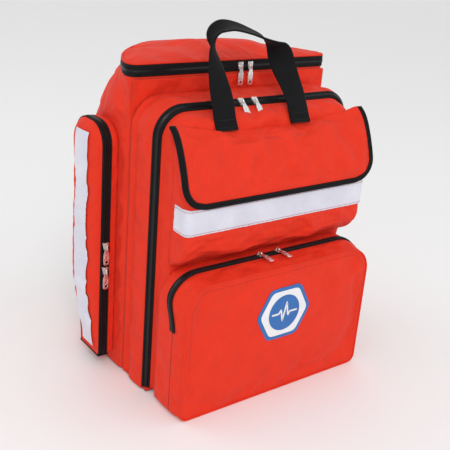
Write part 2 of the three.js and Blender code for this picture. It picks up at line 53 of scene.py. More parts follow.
# Dimensions are in millimetres: x is across, y runs from the front (-) to the back (+), z is up.
BODY_HALF = 178  # half the main compartment's width
BODY_FRONT_Y = -14
BODY_BACK_Y = 135
LID_SEAM_Z = 472
PANEL_TOP_Z = 440  # top of the front compartment
PANEL_FACE_Y = -110.6  # front of the front panel, where both front pockets are sewn on
POCKET_FACE_Y = -174.0  # front of the lower pocket
PATCH_AT = np.array([-1, 138])  # x, z of the patch's middle
SIDE_ZIP_X = 196.2
HANDLE_HALF = 18.6  # half the width of the handle's webbing

# ---------------------------------------------------------------- camera
EYE = Vector((-0.7176, -0.9513, 0.6925))
AIM = Vector((0.58494, 0.72649, -0.36065)).normalized()
ROLL = math.radians(5.18)
across = AIM.cross(Vector((0, 0, 1))).normalized()
above = across.cross(AIM)
cam_right = across * math.cos(ROLL) + above * math.sin(ROLL)
cam_up = above * math.cos(ROLL) - across * math.sin(ROLL)
camera_data = bpy.data.cameras.new("camera")
camera_data.lens = 63.55
camera_data.sensor_width = 36
camera_data.shift_x = -0.0386
camera_data.shift_y = -0.0228
camera_data.clip_start = 0.02
camera = bpy.data.objects.new("camera", camera_data)
scene.collection.objects.link(camera)
turn = Matrix((cam_right, cam_up, -AIM)).transposed().to_4x4()
camera.matrix_world = Matrix.Translation(EYE) @ turn
scene.camera = camera

# ---------------------------------------------------------------- materials
WAVE_BAND = 0.314  # width of a band in a wave texture of scale 1


class Shader:
    """A material's nodes, with the links that every finish here needs."""

    def __init__(self, name):
        self.mat = bpy.data.materials.new(name)
        self.mat.use_nodes = True
        self.nodes = self.mat.node_tree.nodes
        self.link = self.mat.node_tree.links.new
        self.bsdf = self.nodes["Principled BSDF"]

    def add(self, kind, values=None, vector=None, **settings):
        """A new node with its settings and its sockets' values."""
        node = self.nodes.new("ShaderNode" + kind)
        for key, value in settings.items():
            setattr(node, key, value)
        for key, value in (values or {}).items():
            node.inputs[key].default_value = value
        if vector is not None:
            self.link(vector, node.inputs["Vector"])
        return node

    def noise(self, values):
        """Noise laid out in the object's own coordinates."""
        return self.add("TexNoise", values, self.add("TexCoord").outputs["Object"]).outputs["Fac"]

    def scale_add(self, value, factor, plus):
        node = self.add("Math", {1: factor}, operation="MULTIPLY_ADD")
        self.link(value, node.inputs[0])
        if isinstance(plus, float):
            node.inputs[2].default_value = plus
        else:
            self.link(plus, node.inputs[2])
        return node.outputs[0]

    def colour(self, factor, dark, light):
        mix = self.add("Mix", data_type="RGBA")
        mix.inputs["A"].default_value = (*dark, 1)
        mix.inputs["B"].default_value = (*light, 1)
        self.link(factor, mix.inputs["Factor"])
        self.link(mix.outputs["Result"], self.bsdf.inputs["Base Color"])

    def shades(self, factor, colour, vary):
        dark = [c * (1 - vary) for c in colour]
        self.colour(factor, dark, [min(1, c * (1 + vary)) for c in colour])

    def bump(self, height, strength, distance):
        node = self.add("Bump", {"Strength": strength, "Distance": distance})
        self.link(height, node.inputs["Height"])
        self.link(node.outputs[0], self.bsdf.inputs["Normal"])

    def finish(self, values):
        for key, value in values.items():
            self.bsdf.inputs[key].default_value = value
        return self.mat


def woven(name, colour, rough=0.75, pitch=0.0011, weave=0.25, crumple=0.35, vary=0.12, sheen=0.2,
          spec=0.3, rib=False):
    """Cloth with a plain weave (or a ribbed webbing) laid out in metres by the UV map."""
    shader = Shader(name)
    uv = shader.add("UVMap").outputs[0]
    scale = WAVE_BAND / pitch
    along = 0.35 if rib else 1
    weft = shader.add("TexWave", {"Scale": scale}, uv, bands_direction="X").outputs["Fac"]
    warp = shader.add("TexWave", {"Scale": scale * along}, uv, bands_direction="Y").outputs["Fac"]
    threads = shader.scale_add(warp, along, weft)
    lumps = shader.noise({"Scale": 38, "Detail": 3, "Roughness": 0.6})
    shader.bump(shader.scale_add(threads, weave * 0.1, lumps), crumple, 0.0035)
    shader.shades(shader.scale_add(threads, 0.15, lumps), colour, vary)
    return shader.finish({"Roughness": rough, "Specular IOR Level": spec, "Sheen Weight": sheen,
                          "Sheen Roughness": 0.45})


def silver_tape():
    shader = Shader("reflective_tape")
    beads = shader.add("TexVoronoi", {"Scale": 1400}, shader.add("UVMap").outputs[0])
    scuffs = shader.noise({"Scale": 30, "Detail": 4})
    shader.colour(scuffs, (0.56, 0.56, 0.66), (0.80, 0.80, 0.88))
    shader.bump(shader.scale_add(beads.outputs["Distance"], 0.03, scuffs), 0.25, 0.002)
    return shader.finish({"Roughness": 0.38, "Metallic": 0.15, "Sheen Weight": 0.2})


def solid(name, colour, rough, metal=0.0, grain=0.15, scale=300, coat=0.0):
    """Metal, plastic or thread: a plain colour with a fine grain."""
    shader = Shader(name)
    specks = shader.noise({"Scale": scale, "Detail": 4})
    shader.shades(specks, colour, 0.08)
    shader.bump(specks, grain, 0.0002)
    shader.link(shader.scale_add(specks, 0.2, rough - 0.1), shader.bsdf.inputs["Roughness"])
    return shader.finish({"Metallic": metal, "Coat Weight": coat})


BLACK = (0.006, 0.006, 0.007)
orange = woven("orange_nylon", (0.74, 0.033, 0.012), rough=0.6, sheen=0.03, spec=0.16, crumple=0.75,
               weave=0.12)
lining = woven("dark_lining", (0.03, 0.03, 0.034), rough=0.7, crumple=0.2)
coated = woven("coated_inside", (0.5, 0.028, 0.014), rough=0.45, crumple=0.25, weave=0.1)
webbing = woven("black_webbing", BLACK, rough=0.7, pitch=0.0016, weave=0.8, crumple=0.1,
                vary=0.35, sheen=0.03, spec=0.1, rib=True)
tape_cloth = woven("zip_tape_cloth", BLACK, rough=0.68, pitch=0.0013, weave=0.5, crumple=0.12,
                   vary=0.3, sheen=0.03, spec=0.12, rib=True)
binding = woven("black_binding", BLACK, rough=0.66, pitch=0.0014, weave=0.7, crumple=0.1,
                vary=0.3, sheen=0.03, spec=0.1, rib=True)
mesh_pad = woven("padded_mesh", (0.016, 0.016, 0.018), rough=0.85, pitch=0.0034, weave=1.0,
                 crumple=0.15, vary=0.5, sheen=0.1, spec=0.2)
silver = silver_tape()
nickel = solid("nickel", (0.88, 0.87, 0.85), 0.24, metal=0.9, grain=0.1, scale=500)
teeth_mat = solid("coil_teeth", (0.006, 0.006, 0.0065), 0.32, grain=0.05, scale=800, coat=0.2)
plastic = solid("black_plastic", (0.014, 0.014, 0.015), 0.45, grain=0.25, scale=900)
board = solid("stiffener_board", (0.30, 0.30, 0.31), 0.55, grain=0.3, scale=600)
thread = solid("thread_black", (0.015, 0.015, 0.016), 0.6, scale=900)
thread_orange = solid("thread_orange", (0.50, 0.03, 0.015), 0.6, scale=900)
patch_white = woven("patch_white", (0.82, 0.82, 0.84), rough=0.6, pitch=0.0007, weave=0.6,
                    crumple=0.05, vary=0.06)
patch_blue = woven("patch_blue", (0.025, 0.14, 0.42), rough=0.55, pitch=0.0007, weave=0.6,
                   crumple=0.05, vary=0.2)

# ---------------------------------------------------------------- lines and outlines


def smooth_step(x, a, b):
    t = np.clip((np.asarray(x, float) - a) / (b - a), 0, 1)
    return t * t * (3 - 2 * t)


def held_ends(index, last, near, far):
    """1 inside a run of rows or columns, falling to 0 at both of its ends."""
    return np.minimum(smooth_step(index, *near), smooth_step(last - index, *far))


def unit(v):
    return v / np.linalg.norm(v, axis=1, keepdims=True)


def tangents(path):
    return unit(np.gradient(np.asarray(path, float), axis=0))


def square_to(v, t):
    """What is left of each v beside its part along t."""
    return v - t * np.sum(v * t, axis=1, keepdims=True)


def distances(path):
    """How far along a polyline each of its points is."""
    return np.concatenate([[0], np.cumsum(np.linalg.norm(np.diff(path, axis=0), axis=1))])


def sample(at, path, *values):
    """Values given at the points of a path, read at distances along it."""
    along = distances(path)
    return [np.stack([np.interp(at, along, v[:, k]) for k in range(v.shape[1])], 1) for v in values]


def resample(points, count, closed=False):
    p = np.asarray(points, float)
    if closed:
        p = np.vstack([p, p[:1]])
    length = distances(p)[-1]
    at = np.linspace(0, length, count + 1)[:-1] if closed else np.linspace(0, length, count)
    return sample(at, p, p)[0]


def arc(cx, cy, r, start, end, steps):
    """Points on an arc; the angles are in degrees."""
    angles = np.radians(np.linspace(start, end, steps + 1))
    return [(cx + r * math.cos(a), cy + r * math.sin(a)) for a in angles]


def circle(cx, cy, r, count=20):
    return arc(cx, cy, r, 0, 360, count)[:-1]


def arch(half, low, top, radius, count):
    """An upside-down U in x and z, from the left foot over the top to the right foot."""
    left = arc(radius - half, top - radius, radius, 180, 90, 14)
    right = arc(half - radius, top - radius, radius, 90, 0, 14)
    return resample([(-half, low)] + left + right + [(half, low)], count)


def u_plan(half, y_back, y_front, radius, count):
    """In plan: from the left rear forward, across the front, and back on the right."""
    r = max(min(radius, (y_back - y_front) * 0.48), 0.4)
    left = arc(r - half, y_front + r, r, 180, 270, 8)
    right = arc(half - r, y_front + r, r, -90, 0, 8)
    return resample([(-half, y_back)] + left + right + [(half, y_back)], count)


def rounded(y0, y1, z0, z1, r_top, r_low, count, inset=0.0):
    """A closed rounded rectangle from the middle of its lower edge, climbing its low side first."""
    y0, y1, z0, z1 = y0 + inset, y1 - inset, z0 + inset, z1 - inset
    most = (y1 - y0) / 2 - 0.5
    r_top, r_low = min(max(r_top - inset, 4), most), min(max(r_low - inset, 3), most)
    pts = [((y0 + y1) / 2, z0)]
    pts += arc(y0 + r_low, z0 + r_low, r_low, -90, -180, 8)
    pts += arc(y0 + r_top, z1 - r_top, r_top, 180, 90, 8)
    pts += arc(y1 - r_top, z1 - r_top, r_top, 90, 0, 8)
    pts += arc(y1 - r_low, z0 + r_low, r_low, 0, -90, 8)
    return resample(pts, count, closed=True)


def half_width(z, half, low, top, r_low, r_top):
    """Half the width of a rounded rectangle at height z."""
    r, past = 0, 0
    if z > top - r_top:
        r, past = r_top, z - (top - r_top)
    elif z < low + r_low:
        r, past = r_low, low + r_low - z
    return half - r + math.sqrt(max(r ** 2 - past ** 2, 0))


def body_plan(z, count=170, grow=0.0):
    """The main compartment's outline at height z, clockwise from the middle of its front."""
    front_r = 12
    t = min(max((z - 350) / (LID_SEAM_Z - 350), 0), 1)
    rx, ry, power = 30 + 88 * t ** 1.3, 30 + 104 * t ** 0.75, 2 - 0.6 * t
    right = [(0, BODY_FRONT_Y - grow)]
    right += arc(BODY_HALF - front_r, BODY_FRONT_Y + front_r, front_r + grow, -90, 0, 8)
    for a in np.linspace(0, math.pi / 2, 17):
        right.append(((BODY_HALF - rx) + (rx + grow) * math.cos(a) ** (2 / power),
                      (BODY_BACK_Y - ry) + (ry + grow) * math.sin(a) ** (2 / power)))
    left = [(-x, y) for x, y in right[1:]][::-1]
    return resample(right + left, count, closed=True)


def spline(points, per):
    """A Catmull-Rom curve through the points."""
    points = np.array(points, float)
    p = np.vstack([2 * points[0] - points[1], points, 2 * points[-1] - points[-2]])
    out = []
    for a, b, c, d in zip(p, p[1:], p[2:], p[3:]):
        for k in range(per):
            t = k / per
            out.append(0.5 * (2 * b + (c - a) * t + (2 * a - 5 * b + 4 * c - d) * t ** 2
                              + (3 * b - a - 3 * c + d) * t ** 3))
    out.append(points[-1])
    return np.array(out)


def flat_normals(p2):
    """Outward normals of a polyline that runs left foot, top, right foot."""
    t = tangents(p2)
    return np.stack([-t[:, 1], t[:, 0]], 1)


def normals_from(hub, p2):
    """Normals of a plan line that point away from hub."""
    n = flat_normals(p2)
    return -n if np.sum(n * (p2 - hub)) < 0 else n


def to_xz(p2, y):
    return np.stack([p2[:, 0], np.broadcast_to(y, len(p2)), p2[:, 1]], 1)


# ---------------------------------------------------------------- mesh helpers


def add_mesh(name, verts, faces, uvs=None, mats=(), smooth=True):
    data = bpy.data.meshes.new(name)
    data.from_pydata([tuple(v) for v in verts], [], [tuple(f) for f in faces])
    if uvs is not None:
        layer = data.uv_layers.new(name="UVMap")
        loop_vert = np.empty(len(data.loops), np.int32)
        data.loops.foreach_get("vertex_index", loop_vert)
        layer.data.foreach_set("uv", np.asarray(uvs, np.float32)[loop_vert].ravel())
    for mat in mats:
        data.materials.append(mat)
    data.polygons.foreach_set("use_smooth", [smooth] * len(data.polygons))
    data.update()
    obj = bpy.data.objects.new(name, data)
    scene.collection.objects.link(obj)
    return obj


@contextmanager
def editing(obj, outward=True):
    """Opens a mesh for editing; outward turns its faces to the outside at the end."""
    bm = bmesh.new()
    bm.from_mesh(obj.data)
    bm.verts.ensure_lookup_table()
    yield bm
    if outward:
        bmesh.ops.recalc_face_normals(bm, faces=bm.faces)
    bm.to_mesh(obj.data)
    bm.free()


def grid_mesh(name, points, mats=None, closed=False, flip=False):
    """points is [rows, columns, 3] in millimetres; UVs run in metres along both. Orange cloth by
    default, with its coated inside."""
    p = np.asarray(points, float)
    rows, cols = p.shape[:2]
    du = np.zeros((rows, cols))
    du[:, 1:] = np.cumsum(np.linalg.norm(np.diff(p, axis=1), axis=2), axis=1)
    dv = np.zeros((rows, cols))
    dv[1:] = np.cumsum(np.linalg.norm(np.diff(p, axis=0), axis=2), axis=0)
    du -= du[:, -1:] / 2
    uv = np.stack([du, np.broadcast_to(dv.mean(1, keepdims=True), dv.shape)], -1)
    faces = []
    for r in range(rows - 1):
        for c in range(cols if closed else cols - 1):
            n = (c + 1) % cols
            quad = (r * cols + c, r * cols + n, (r + 1) * cols + n, (r + 1) * cols + c)
            faces.append(quad[::-1] if flip else quad)
    return add_mesh(name, p.reshape(-1, 3) * MM, faces, uv.reshape(-1, 2) * MM,
                    mats or [orange, coated])


def strip_section(path, normal, wide, section, name, mats):
    """Sweeps a closed section [(along wide, along normal), ...] along path. normal and wide are one
    direction, or one for each point."""
    path, section = np.asarray(path, float), np.asarray(section, float)
    normal, wide = (np.broadcast_to(np.asarray(a, float), path.shape) for a in (normal, wide))
    pts = (path[:, None] + wide[:, None] * section[None, :, :1]
           + normal[:, None] * section[None, :, 1:])
    n, count = pts.shape[:2]
    uv = np.stack([np.broadcast_to(distances(section)[None], (n, count)),
                   np.broadcast_to(distances(path)[:, None], (n, count))], -1)
    faces = []
    for r in range(n - 1):
        for c in range(count):
            a, b = r * count + c, r * count + (c + 1) % count
            faces.append((a, b, b + count, a + count))
    faces.append(tuple(range(count))[::-1])
    faces.append(tuple((n - 1) * count + k for k in range(count)))
    obj = add_mesh(name, pts.reshape(-1, 3) * MM, faces, uv.reshape(-1, 2) * MM, mats)
    with editing(obj):
        pass  # only turns the faces outward
    return obj


def band_section(half, thick, crown=0.0):
    """A flat strip with slightly rounded edges."""
    e = min(thick * 0.4, 0.5)
    return [(-half, 0), (-half + e, -thick / 2), (half - e, -thick / 2), (half, 0),
            (half - e, thick / 2 + crown * 0.5), (half * 0.4, thick / 2 + crown),
            (-half * 0.4, thick / 2 + crown), (-half + e, thick / 2 + crown * 0.5)]


def close_ring(obj, first, count):
    """Fills a closed ring of vertices (an even number) with cross strips."""
    with editing(obj) as bm:
        ring = [bm.verts[first + k] for k in range(count)]
        bm.faces.new([ring[count - 1], ring[0], ring[1]])
        for k in range(1, count // 2 - 1):
            bm.faces.new([ring[count - k], ring[k], ring[k + 1], ring[count - 1 - k]])
        mid = count // 2
        bm.faces.new([ring[mid + 1], ring[mid - 1], ring[mid]])


def get_co(obj, field="co"):
    """Vertex positions in metres, or with "normal" their normals."""
    co = np.empty(len(obj.data.vertices) * 3)
    obj.data.vertices.foreach_get(field, co)
    return co.reshape(-1, 3)


def set_co(obj, co):
    obj.data.vertices.foreach_set("co", np.asarray(co, float).ravel())
    obj.data.update()


def cells(obj, cols):
    """Each vertex's position in millimetres, and its row and column in the grid."""
    co = get_co(obj) / MM
    return co, *np.divmod(np.arange(len(co)), cols)


def ripple(co, size, seed):
    """Smooth noise of about unit height for each point; size is the ripple length in metres."""
    return np.array([noise.noise(Vector((x / size + seed * 7.3, y / size - seed * 3.1,
                                         z / size + seed))) for x, y, z in co])


CLOTH_FRAMES = 16
CLOTH = {"quality": 6, "mass": 0.25, "tension_stiffness": 25, "compression_stiffness": 25,
         "shear_stiffness": 8, "tension_damping": 8, "compression_damping": 8, "shear_damping": 8,
         "bending_damping": 0.6, "air_damping": 2}


def wrinkle(obj, free, seed, slack=0.03, pressure=0.0, cap=0.007, bend=0.02, start=0.0018,
            size=0.03):
    """Cloth relaxed with its seams held: free is 1 where it may move and 0 on a seam."""
    rest = get_co(obj)
    free = np.clip(free, 0, 1)
    bumps = (ripple(rest, size, seed) * start * free)[:, None]
    set_co(obj, rest + get_co(obj, "normal") * bumps)
    group = obj.vertex_groups.new(name="seams")
    for i, f in enumerate(free):
        group.add([i], float(1 - f) if f < 0.5 else 0.0, "REPLACE")
    mod = obj.modifiers.new("Cloth", "CLOTH")
    for key, value in CLOTH.items():
        setattr(mod.settings, key, value)
    mod.settings.bending_stiffness = bend
    mod.settings.vertex_group_mass = "seams"
    mod.settings.shrink_min = -slack
    mod.settings.effector_weights.gravity = 0
    if pressure:
        mod.settings.use_pressure = True
        mod.settings.uniform_pressure_force = pressure
    mod.collision_settings.use_collision = False
    mod.collision_settings.use_self_collision = False
    mod.point_cache.frame_start = 1
    mod.point_cache.frame_end = CLOTH_FRAMES + 1
    for f in range(1, CLOTH_FRAMES + 1):
        scene.frame_set(f)
    shown = obj.evaluated_get(bpy.context.evaluated_depsgraph_get())
    delta = get_co(shown) - rest
    obj.modifiers.remove(mod)
    scene.frame_set(1)
    moved = np.linalg.norm(delta, axis=1)
    moved[moved == 0] = 1
    set_co(obj, rest + delta * (cap * np.tanh(moved / cap) / moved)[:, None])


def thicken(obj, mm=1.6, levels=1, inner=1):
    """Cloth of this thickness, laid inward; inner is the material slot of its inside."""
    solidify = obj.modifiers.new("thickness", "SOLIDIFY")
    solidify.thickness = mm * MM
    solidify.offset = -1
    solidify.material_offset = inner
    solidify.material_offset_rim = inner
    if levels:
        soften(obj, levels)
    return obj


def soften(obj, levels=1):
    sub = obj.modifiers.new("smooth", "SUBSURF")
    sub.levels = levels
    sub.render_levels = levels


def place(obj, body, slot, *nodes):
    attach(obj, body)
    if nodes:
        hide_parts(*nodes)
    return obj


def surface_of(obj):
    """A lookup of the finished surface, in millimetres."""
    return BVHTree.FromPolygons([Vector(c) for c in get_co(obj) / MM],
                                [list(p.vertices) for p in obj.data.polygons])


def onto(tree, points, direction, lift, far):
    """Drops each point along direction onto the surface and lifts it off again."""
    d = Vector(direction).normalized()
    out = []
    for p in points:
        hit = tree.ray_cast(Vector(p) - d * far, d, far * 3)[0]
        if hit is None:
            hit = tree.find_nearest(Vector(p))[0]
        out.append(list(hit - d * lift))
    return np.array(out)


STITCH_FACES = [(0, 3, 4, 1), (1, 4, 5, 2), (0, 1, 2), (5, 4, 3)]


def stitch(name, lines, normal, body, mat, slot, radius=0.25, pitch=3.2, gap=0.9):
    """Rows of short thread stitches lying along lines."""
    verts, faces = [], []
    for line in lines:
        line = np.asarray(line, float)
        starts = np.arange(0.5, distances(line)[-1] - pitch, pitch)
        q0s, normals = sample(starts, line, line, np.broadcast_to(normal, line.shape))
        q1s = sample(starts + pitch - gap, line, line)[0]
        for q0, q1, n in zip(q0s, q1s, normals):
            n = n / (np.linalg.norm(n) + 1e-9)
            t = (q1 - q0) / (np.linalg.norm(q1 - q0) + 1e-9)
            w = np.cross(n, t)
            base = len(verts)
            for q in (q0, q1):
                verts += [q + w * radius, q + n * radius * 1.1, q - w * radius]
            for face in STITCH_FACES:
                faces.append(tuple(base + k for k in face))
    obj = add_mesh(name, np.array(verts) * MM, faces, None, [mat], smooth=False)
    return place(obj, body, slot)


TOOTH_PITCH = 2.4
TOOTH_LENGTH = 2.6
TOOTH_LIFT = 0.5
TOOTH = [(-0.35, 0, 0), (0.35, 0, 0), (0.35, 1, 0), (-0.35, 1, 0),
         (-0.22, 0.08, 1), (0.22, 0.08, 1), (0.22, 0.9, 1), (-0.22, 0.9, 1)]
TOOTH_FACES = [(0, 1, 5, 4), (1, 2, 6, 5), (2, 3, 7, 6), (3, 0, 4, 7), (4, 5, 6, 7)]


def teeth(name, path, normal, wide, side, body):
    """Half a zip's coil teeth: blocks on one side of the line."""
    count = int(distances(path)[-1] / TOOTH_PITCH)
    at = (np.arange(count) + (0.25 if side > 0 else 0.75)) * TOOTH_PITCH
    c, t, n, w = sample(at, path, path, tangents(path), normal, wide)
    box = np.array([(a * TOOTH_PITCH, b, h) for a, b, h in TOOTH])[None]
    pts = (c[:, None] + t[:, None] * box[..., :1]
           + w[:, None] * (side * (box[..., 1:2] * TOOTH_LENGTH - 0.5))
           + n[:, None] * (TOOTH_LIFT + box[..., 2:] * 0.9))
    faces = []
    for k in range(count):
        for quad in TOOTH_FACES:
            faces.append(tuple(k * 8 + q for q in (quad if side > 0 else quad[::-1])))
    obj = add_mesh(name, pts.reshape(-1, 3) * MM, faces, None, [teeth_mat], smooth=False)
    place(obj, body, "zip_tape")


def zip_track(name, path, normal, wide, sides, half):
    """Two tapes and their coil and stitches; sides are (body, CAD node), and wide runs a to b."""
    wide = np.broadcast_to(np.array(wide, float), path.shape)
    profile = [(0.5, -0.5), (half, -0.7), (half + 0.1, 0.25), (half * 0.8, 0.75),
               (half * 0.5, 0.62), (half * 0.3, 0.8), (0.5, 0.5)]
    for side, tag, (body, node) in zip((-1, 1), "ab", sides):
        section = [(side * a, b) for a, b in profile]
        tape = strip_section(path, normal, wide, section, f"{name}_tape_{tag}", [tape_cloth])
        place(tape, body, "zip_tape", node)
        teeth(f"{name}_teeth_{tag}", path, normal, wide, side, body)
        run = [path + wide * side * reach + normal * 0.82 for reach in (half - 1.4, half * 0.42)]
        stitch(f"{name}_stitch_{tag}", run, normal, body, thread, "zip_tape", 0.22)


# ---------------------------------------------------------------- main compartment
SHELL_COLS = 170
levels = np.concatenate([np.linspace(1, 345, 58), np.linspace(351, LID_SEAM_Z, 26)])
rows = [np.column_stack([body_plan(z, SHELL_COLS), np.full(SHELL_COLS, z)]) for z in levels]
shell = grid_mesh("main_shell", rows, closed=True)
x, y, z = (get_co(shell) / MM).T
free = smooth_step(z, 4, 16) * (1 - smooth_step(z, 452, 466))
free *= np.where(y < -8, 0, 1)
free *= smooth_step(np.hypot(np.abs(x) - BODY_HALF, y - BODY_FRONT_Y), 4, 12)
under_pocket = (y > 8) & (y < 104) & (z < 396) & (np.abs(x) > 160)
free *= np.where(under_pocket, 0, 1)
wrinkle(shell, free, 1, slack=0.03, pressure=2.0, cap=0.006, size=0.045, start=0.003)
place(thicken(shell), "pack", "orange_fabric", "side_panel_left", "side_panel_right", "rear_panel")

rows = []
for y in np.linspace(-83.4, 131, 44):
    reach = 174.5 if y < 105 else 174.5 - 30 + math.sqrt(max(30 ** 2 - (y - 101.5) ** 2, 0))
    rows.append([(x, y, 4.2) for x in np.linspace(-reach, reach, 60)])
floor_panel = grid_mesh("base_skin", rows)
co = get_co(floor_panel)
set_co(floor_panel, co + np.outer(ripple(co, 0.05, 4) * 0.0004, [0, 0, 1]))
place(thicken(floor_panel, 3.4, 0), "pack", "orange_fabric", "base_panel")

wall_half = 176.5
rows = [[(x, -15.6, z) for x in np.linspace(-wall_half, wall_half, 60)]
        for z in np.linspace(5.5, 461, 76)]
wall = grid_mesh("divider_skin", rows)
x, y, z = (get_co(wall) / MM).T
free = np.minimum.reduce([smooth_step(wall_half - np.abs(x), 2, 14), smooth_step(z, 6, 20),
                          1 - smooth_step(z, 450, 459)])
free *= np.where(z < 438, 0.3, 1)
wrinkle(wall, free, 9, slack=0.03, pressure=1.6, cap=0.0035, size=0.045)
place(thicken(wall, 1.0, 1), "pack", "orange_fabric", "compartment_divider")

# ---------------------------------------------------------------- front compartment
outline = arch(BODY_HALF, 1, PANEL_TOP_Z, 45, 236)
inward = -flat_normals(outline)
rows = []
for y in np.linspace(-17.2, -72, 15):
    dent = 6.5 * math.exp(-((y + 27) / 6.5) ** 2) - 1.2 * math.exp(-((y + 50) / 14) ** 2)
    rows.append(to_xz(outline + inward * (dent + 0.3), y))
rows.append(to_xz(outline + inward * 2.4, -74.1))
gusset = grid_mesh("front_gusset_skin", rows, flip=True)
x, y, z = (get_co(gusset) / MM).T
free = smooth_step(-y, 30, 36) * (1 - smooth_step(-y, 62, 69)) * smooth_step(z, 4, 20)
wrinkle(gusset, free, 2, slack=0.035, pressure=1.0, cap=0.005, size=0.035)
place(thicken(gusset), "pack", "orange_fabric", "front_gusset")

band_inset = 5.9
band = arch(BODY_HALF - band_inset, 6, PANEL_TOP_Z - band_inset, 45 - band_inset, 260)
band_out = to_xz(flat_normals(band), 0)
zip_track("front_zip", to_xz(band, -78.2), (band_out + [0, -1, 0]) / math.sqrt(2),
          (-band_out + [0, -1, 0]) / math.sqrt(2),
          (("pack", "front_zip_rear_tape"), ("front_panel", "front_zip_front_tape")), half=6.3)

PANEL_COLS = 200
rows = [to_xz(arch(168, 4, 430.4, 38.4, PANEL_COLS), -82.2)]
for s in np.linspace(0, math.pi / 2, 8):
    bow = 1 - math.cos(s)
    inset = 0.2 + 4.5 * bow
    line = arch(165.6 - inset, 4, 428 - inset - 15 * bow, 36, PANEL_COLS)
    rows.append(to_xz(line, -84.6 - 25.4 * math.sin(s)))
for inset in (9, 16, 25, 36, 50, 66, 84, 104, 126, 150):
    line = arch(165.6 - inset, 4, 413 - inset, max(36 - inset * 0.2, 8), PANEL_COLS)
    rows.append(to_xz(line, -110.2))
panel = grid_mesh("front_panel_skin", rows, flip=True)
with editing(panel, outward=False) as bm:
    last = (len(rows) - 1) * PANEL_COLS
    for k in range(PANEL_COLS // 2 - 1):
        ids = (PANEL_COLS - 1 - k, PANEL_COLS - 2 - k, k + 1, k)
        bm.faces.new([bm.verts[last + i] for i in ids])
x, y, z = (get_co(panel) / MM).T
free = smooth_step(-y, 85, 92) * smooth_step(z, 5, 25)
free *= np.where((np.abs(x) < 158) & (z < 395), 0, 1)
wrinkle(panel, free, 3, slack=0.03, pressure=1.5, cap=0.004)
place(thicken(panel), "front_panel", "orange_fabric", "front_panel")

# ---------------------------------------------------------------- upper pocket
UPPER_COLS = 112
upper_z = np.concatenate([np.linspace(220, 276, 15), np.linspace(280, 314, 9),
                          np.linspace(319, 404, 17)])
front_at = np.interp(upper_z, [220, 223, 229, 236, 244, 254, 268, 300, 340, 352, 376, 404],
                     [-111.2, -117, -129, -139, -145.5, -149, -150, -150, -149, -146.5, -137.5,
                      -124.5])


def bow_across(x):
    """1 in the middle of the front panel, falling to 0 at its sides."""
    return np.cos(np.clip(x / 160, -1, 1) * math.pi / 2) ** 0.7


rows = []
for z, front_y in zip(upper_z, front_at):
    plan = u_plan(164.2, PANEL_FACE_Y, front_y, 9, UPPER_COLS)
    sink = 13 * bow_across(plan[:, 0]) * smooth_step(z, 350, 404)
    rows.append(np.column_stack([plan, z - sink]))
pocket = grid_mesh("upper_pocket_skin", rows)
x, y, z = (get_co(pocket) / MM).T
free = smooth_step(z, 221, 230) * (1 - smooth_step(z, 385, 400))
free *= smooth_step(-y, 111, 120)
free *= 1 - 0.93 * (smooth_step(z, 270, 276) * (1 - smooth_step(z, 314, 320)))
wrinkle(pocket, free, 5, slack=0.045, pressure=1.6, cap=0.0065, size=0.035, bend=0.01, start=0.003)
place(thicken(pocket), "front_panel", "orange_fabric", "upper_pocket")

co = get_co(pocket).reshape(-1, UPPER_COLS, 3) / MM
normals = get_co(pocket, "normal").reshape(-1, UPPER_COLS, 3)
picked = [i for i, z in enumerate(upper_z) if 275.5 <= z <= 314.5]
co = (co[picked] + normals[picked] * 0.9)[:, 2:-2]
normals = normals[picked][:, 2:-2]
tape = grid_mesh("front_reflective_tape", co, [silver])
place(thicken(tape, 0.7, 1, 0), "front_panel", "reflective_tape", "front_reflective_band")
edges = [co[1] * 0.75 + co[0] * 0.25 + normals[0] * 0.2,
         co[-2] * 0.75 + co[-1] * 0.25 + normals[-1] * 0.2]
stitch("front_reflective_stitch", edges, normals[0], "front_panel", thread_orange,
       "reflective_tape", 0.3)

# ---------------------------------------------------------------- flap
FLAP_ROWS, FLAP_COLS = 30, 76
FLAP_HALF = 173
FLAP_CORNER = 34
flap_line = resample([(-107.5, 418), (-112.5, 417), (-118, 413), (-125, 406.5), (-133, 394),
                      (-140.5, 378), (-147, 361), (-151.6, 346), (-154, 331), (-154.8, 316)],
                     FLAP_ROWS)
flap_at = distances(flap_line)
flap_length = flap_at[-1]
rows = []
for (y, z), s in zip(flap_line, flap_at):
    drop = max(s - (flap_length - FLAP_CORNER), 0) / FLAP_CORNER
    half = FLAP_HALF - FLAP_CORNER * (1 - math.sqrt(max(1 - drop ** 2, 0)))
    x = np.linspace(half, -half, FLAP_COLS)
    top = math.exp(-(s / 34) ** 2)
    sag = -13 * top * bow_across(x) + 3.0 * top * (np.abs(x) / FLAP_HALF) ** 3
    belly = 2.2 * math.sin(math.pi * s / flap_length) * np.cos(x / FLAP_HALF * math.pi / 2)
    rows.append(np.stack([x, y - belly, z + sag], 1))
flap = grid_mesh("pocket_flap_skin", rows, [orange, lining])
_, row, col = cells(flap, FLAP_COLS)
free = held_ends(row, FLAP_ROWS - 1, (0, 3), (2, 6)) * held_ends(col, FLAP_COLS - 1, (1, 5), (1, 5))
wrinkle(flap, free, 8, slack=0.05, pressure=1.2, cap=0.006, size=0.04, bend=0.01, start=0.0035)
place(thicken(flap, 2.0), "flap", "orange_fabric", "pocket_flap")



def flap_edge(a):
    """Down the last column, back along the last row and up the first column."""
    return np.vstack([a[1:, -1], a[-1, -2::-1], a[-2:0:-1, 0]])


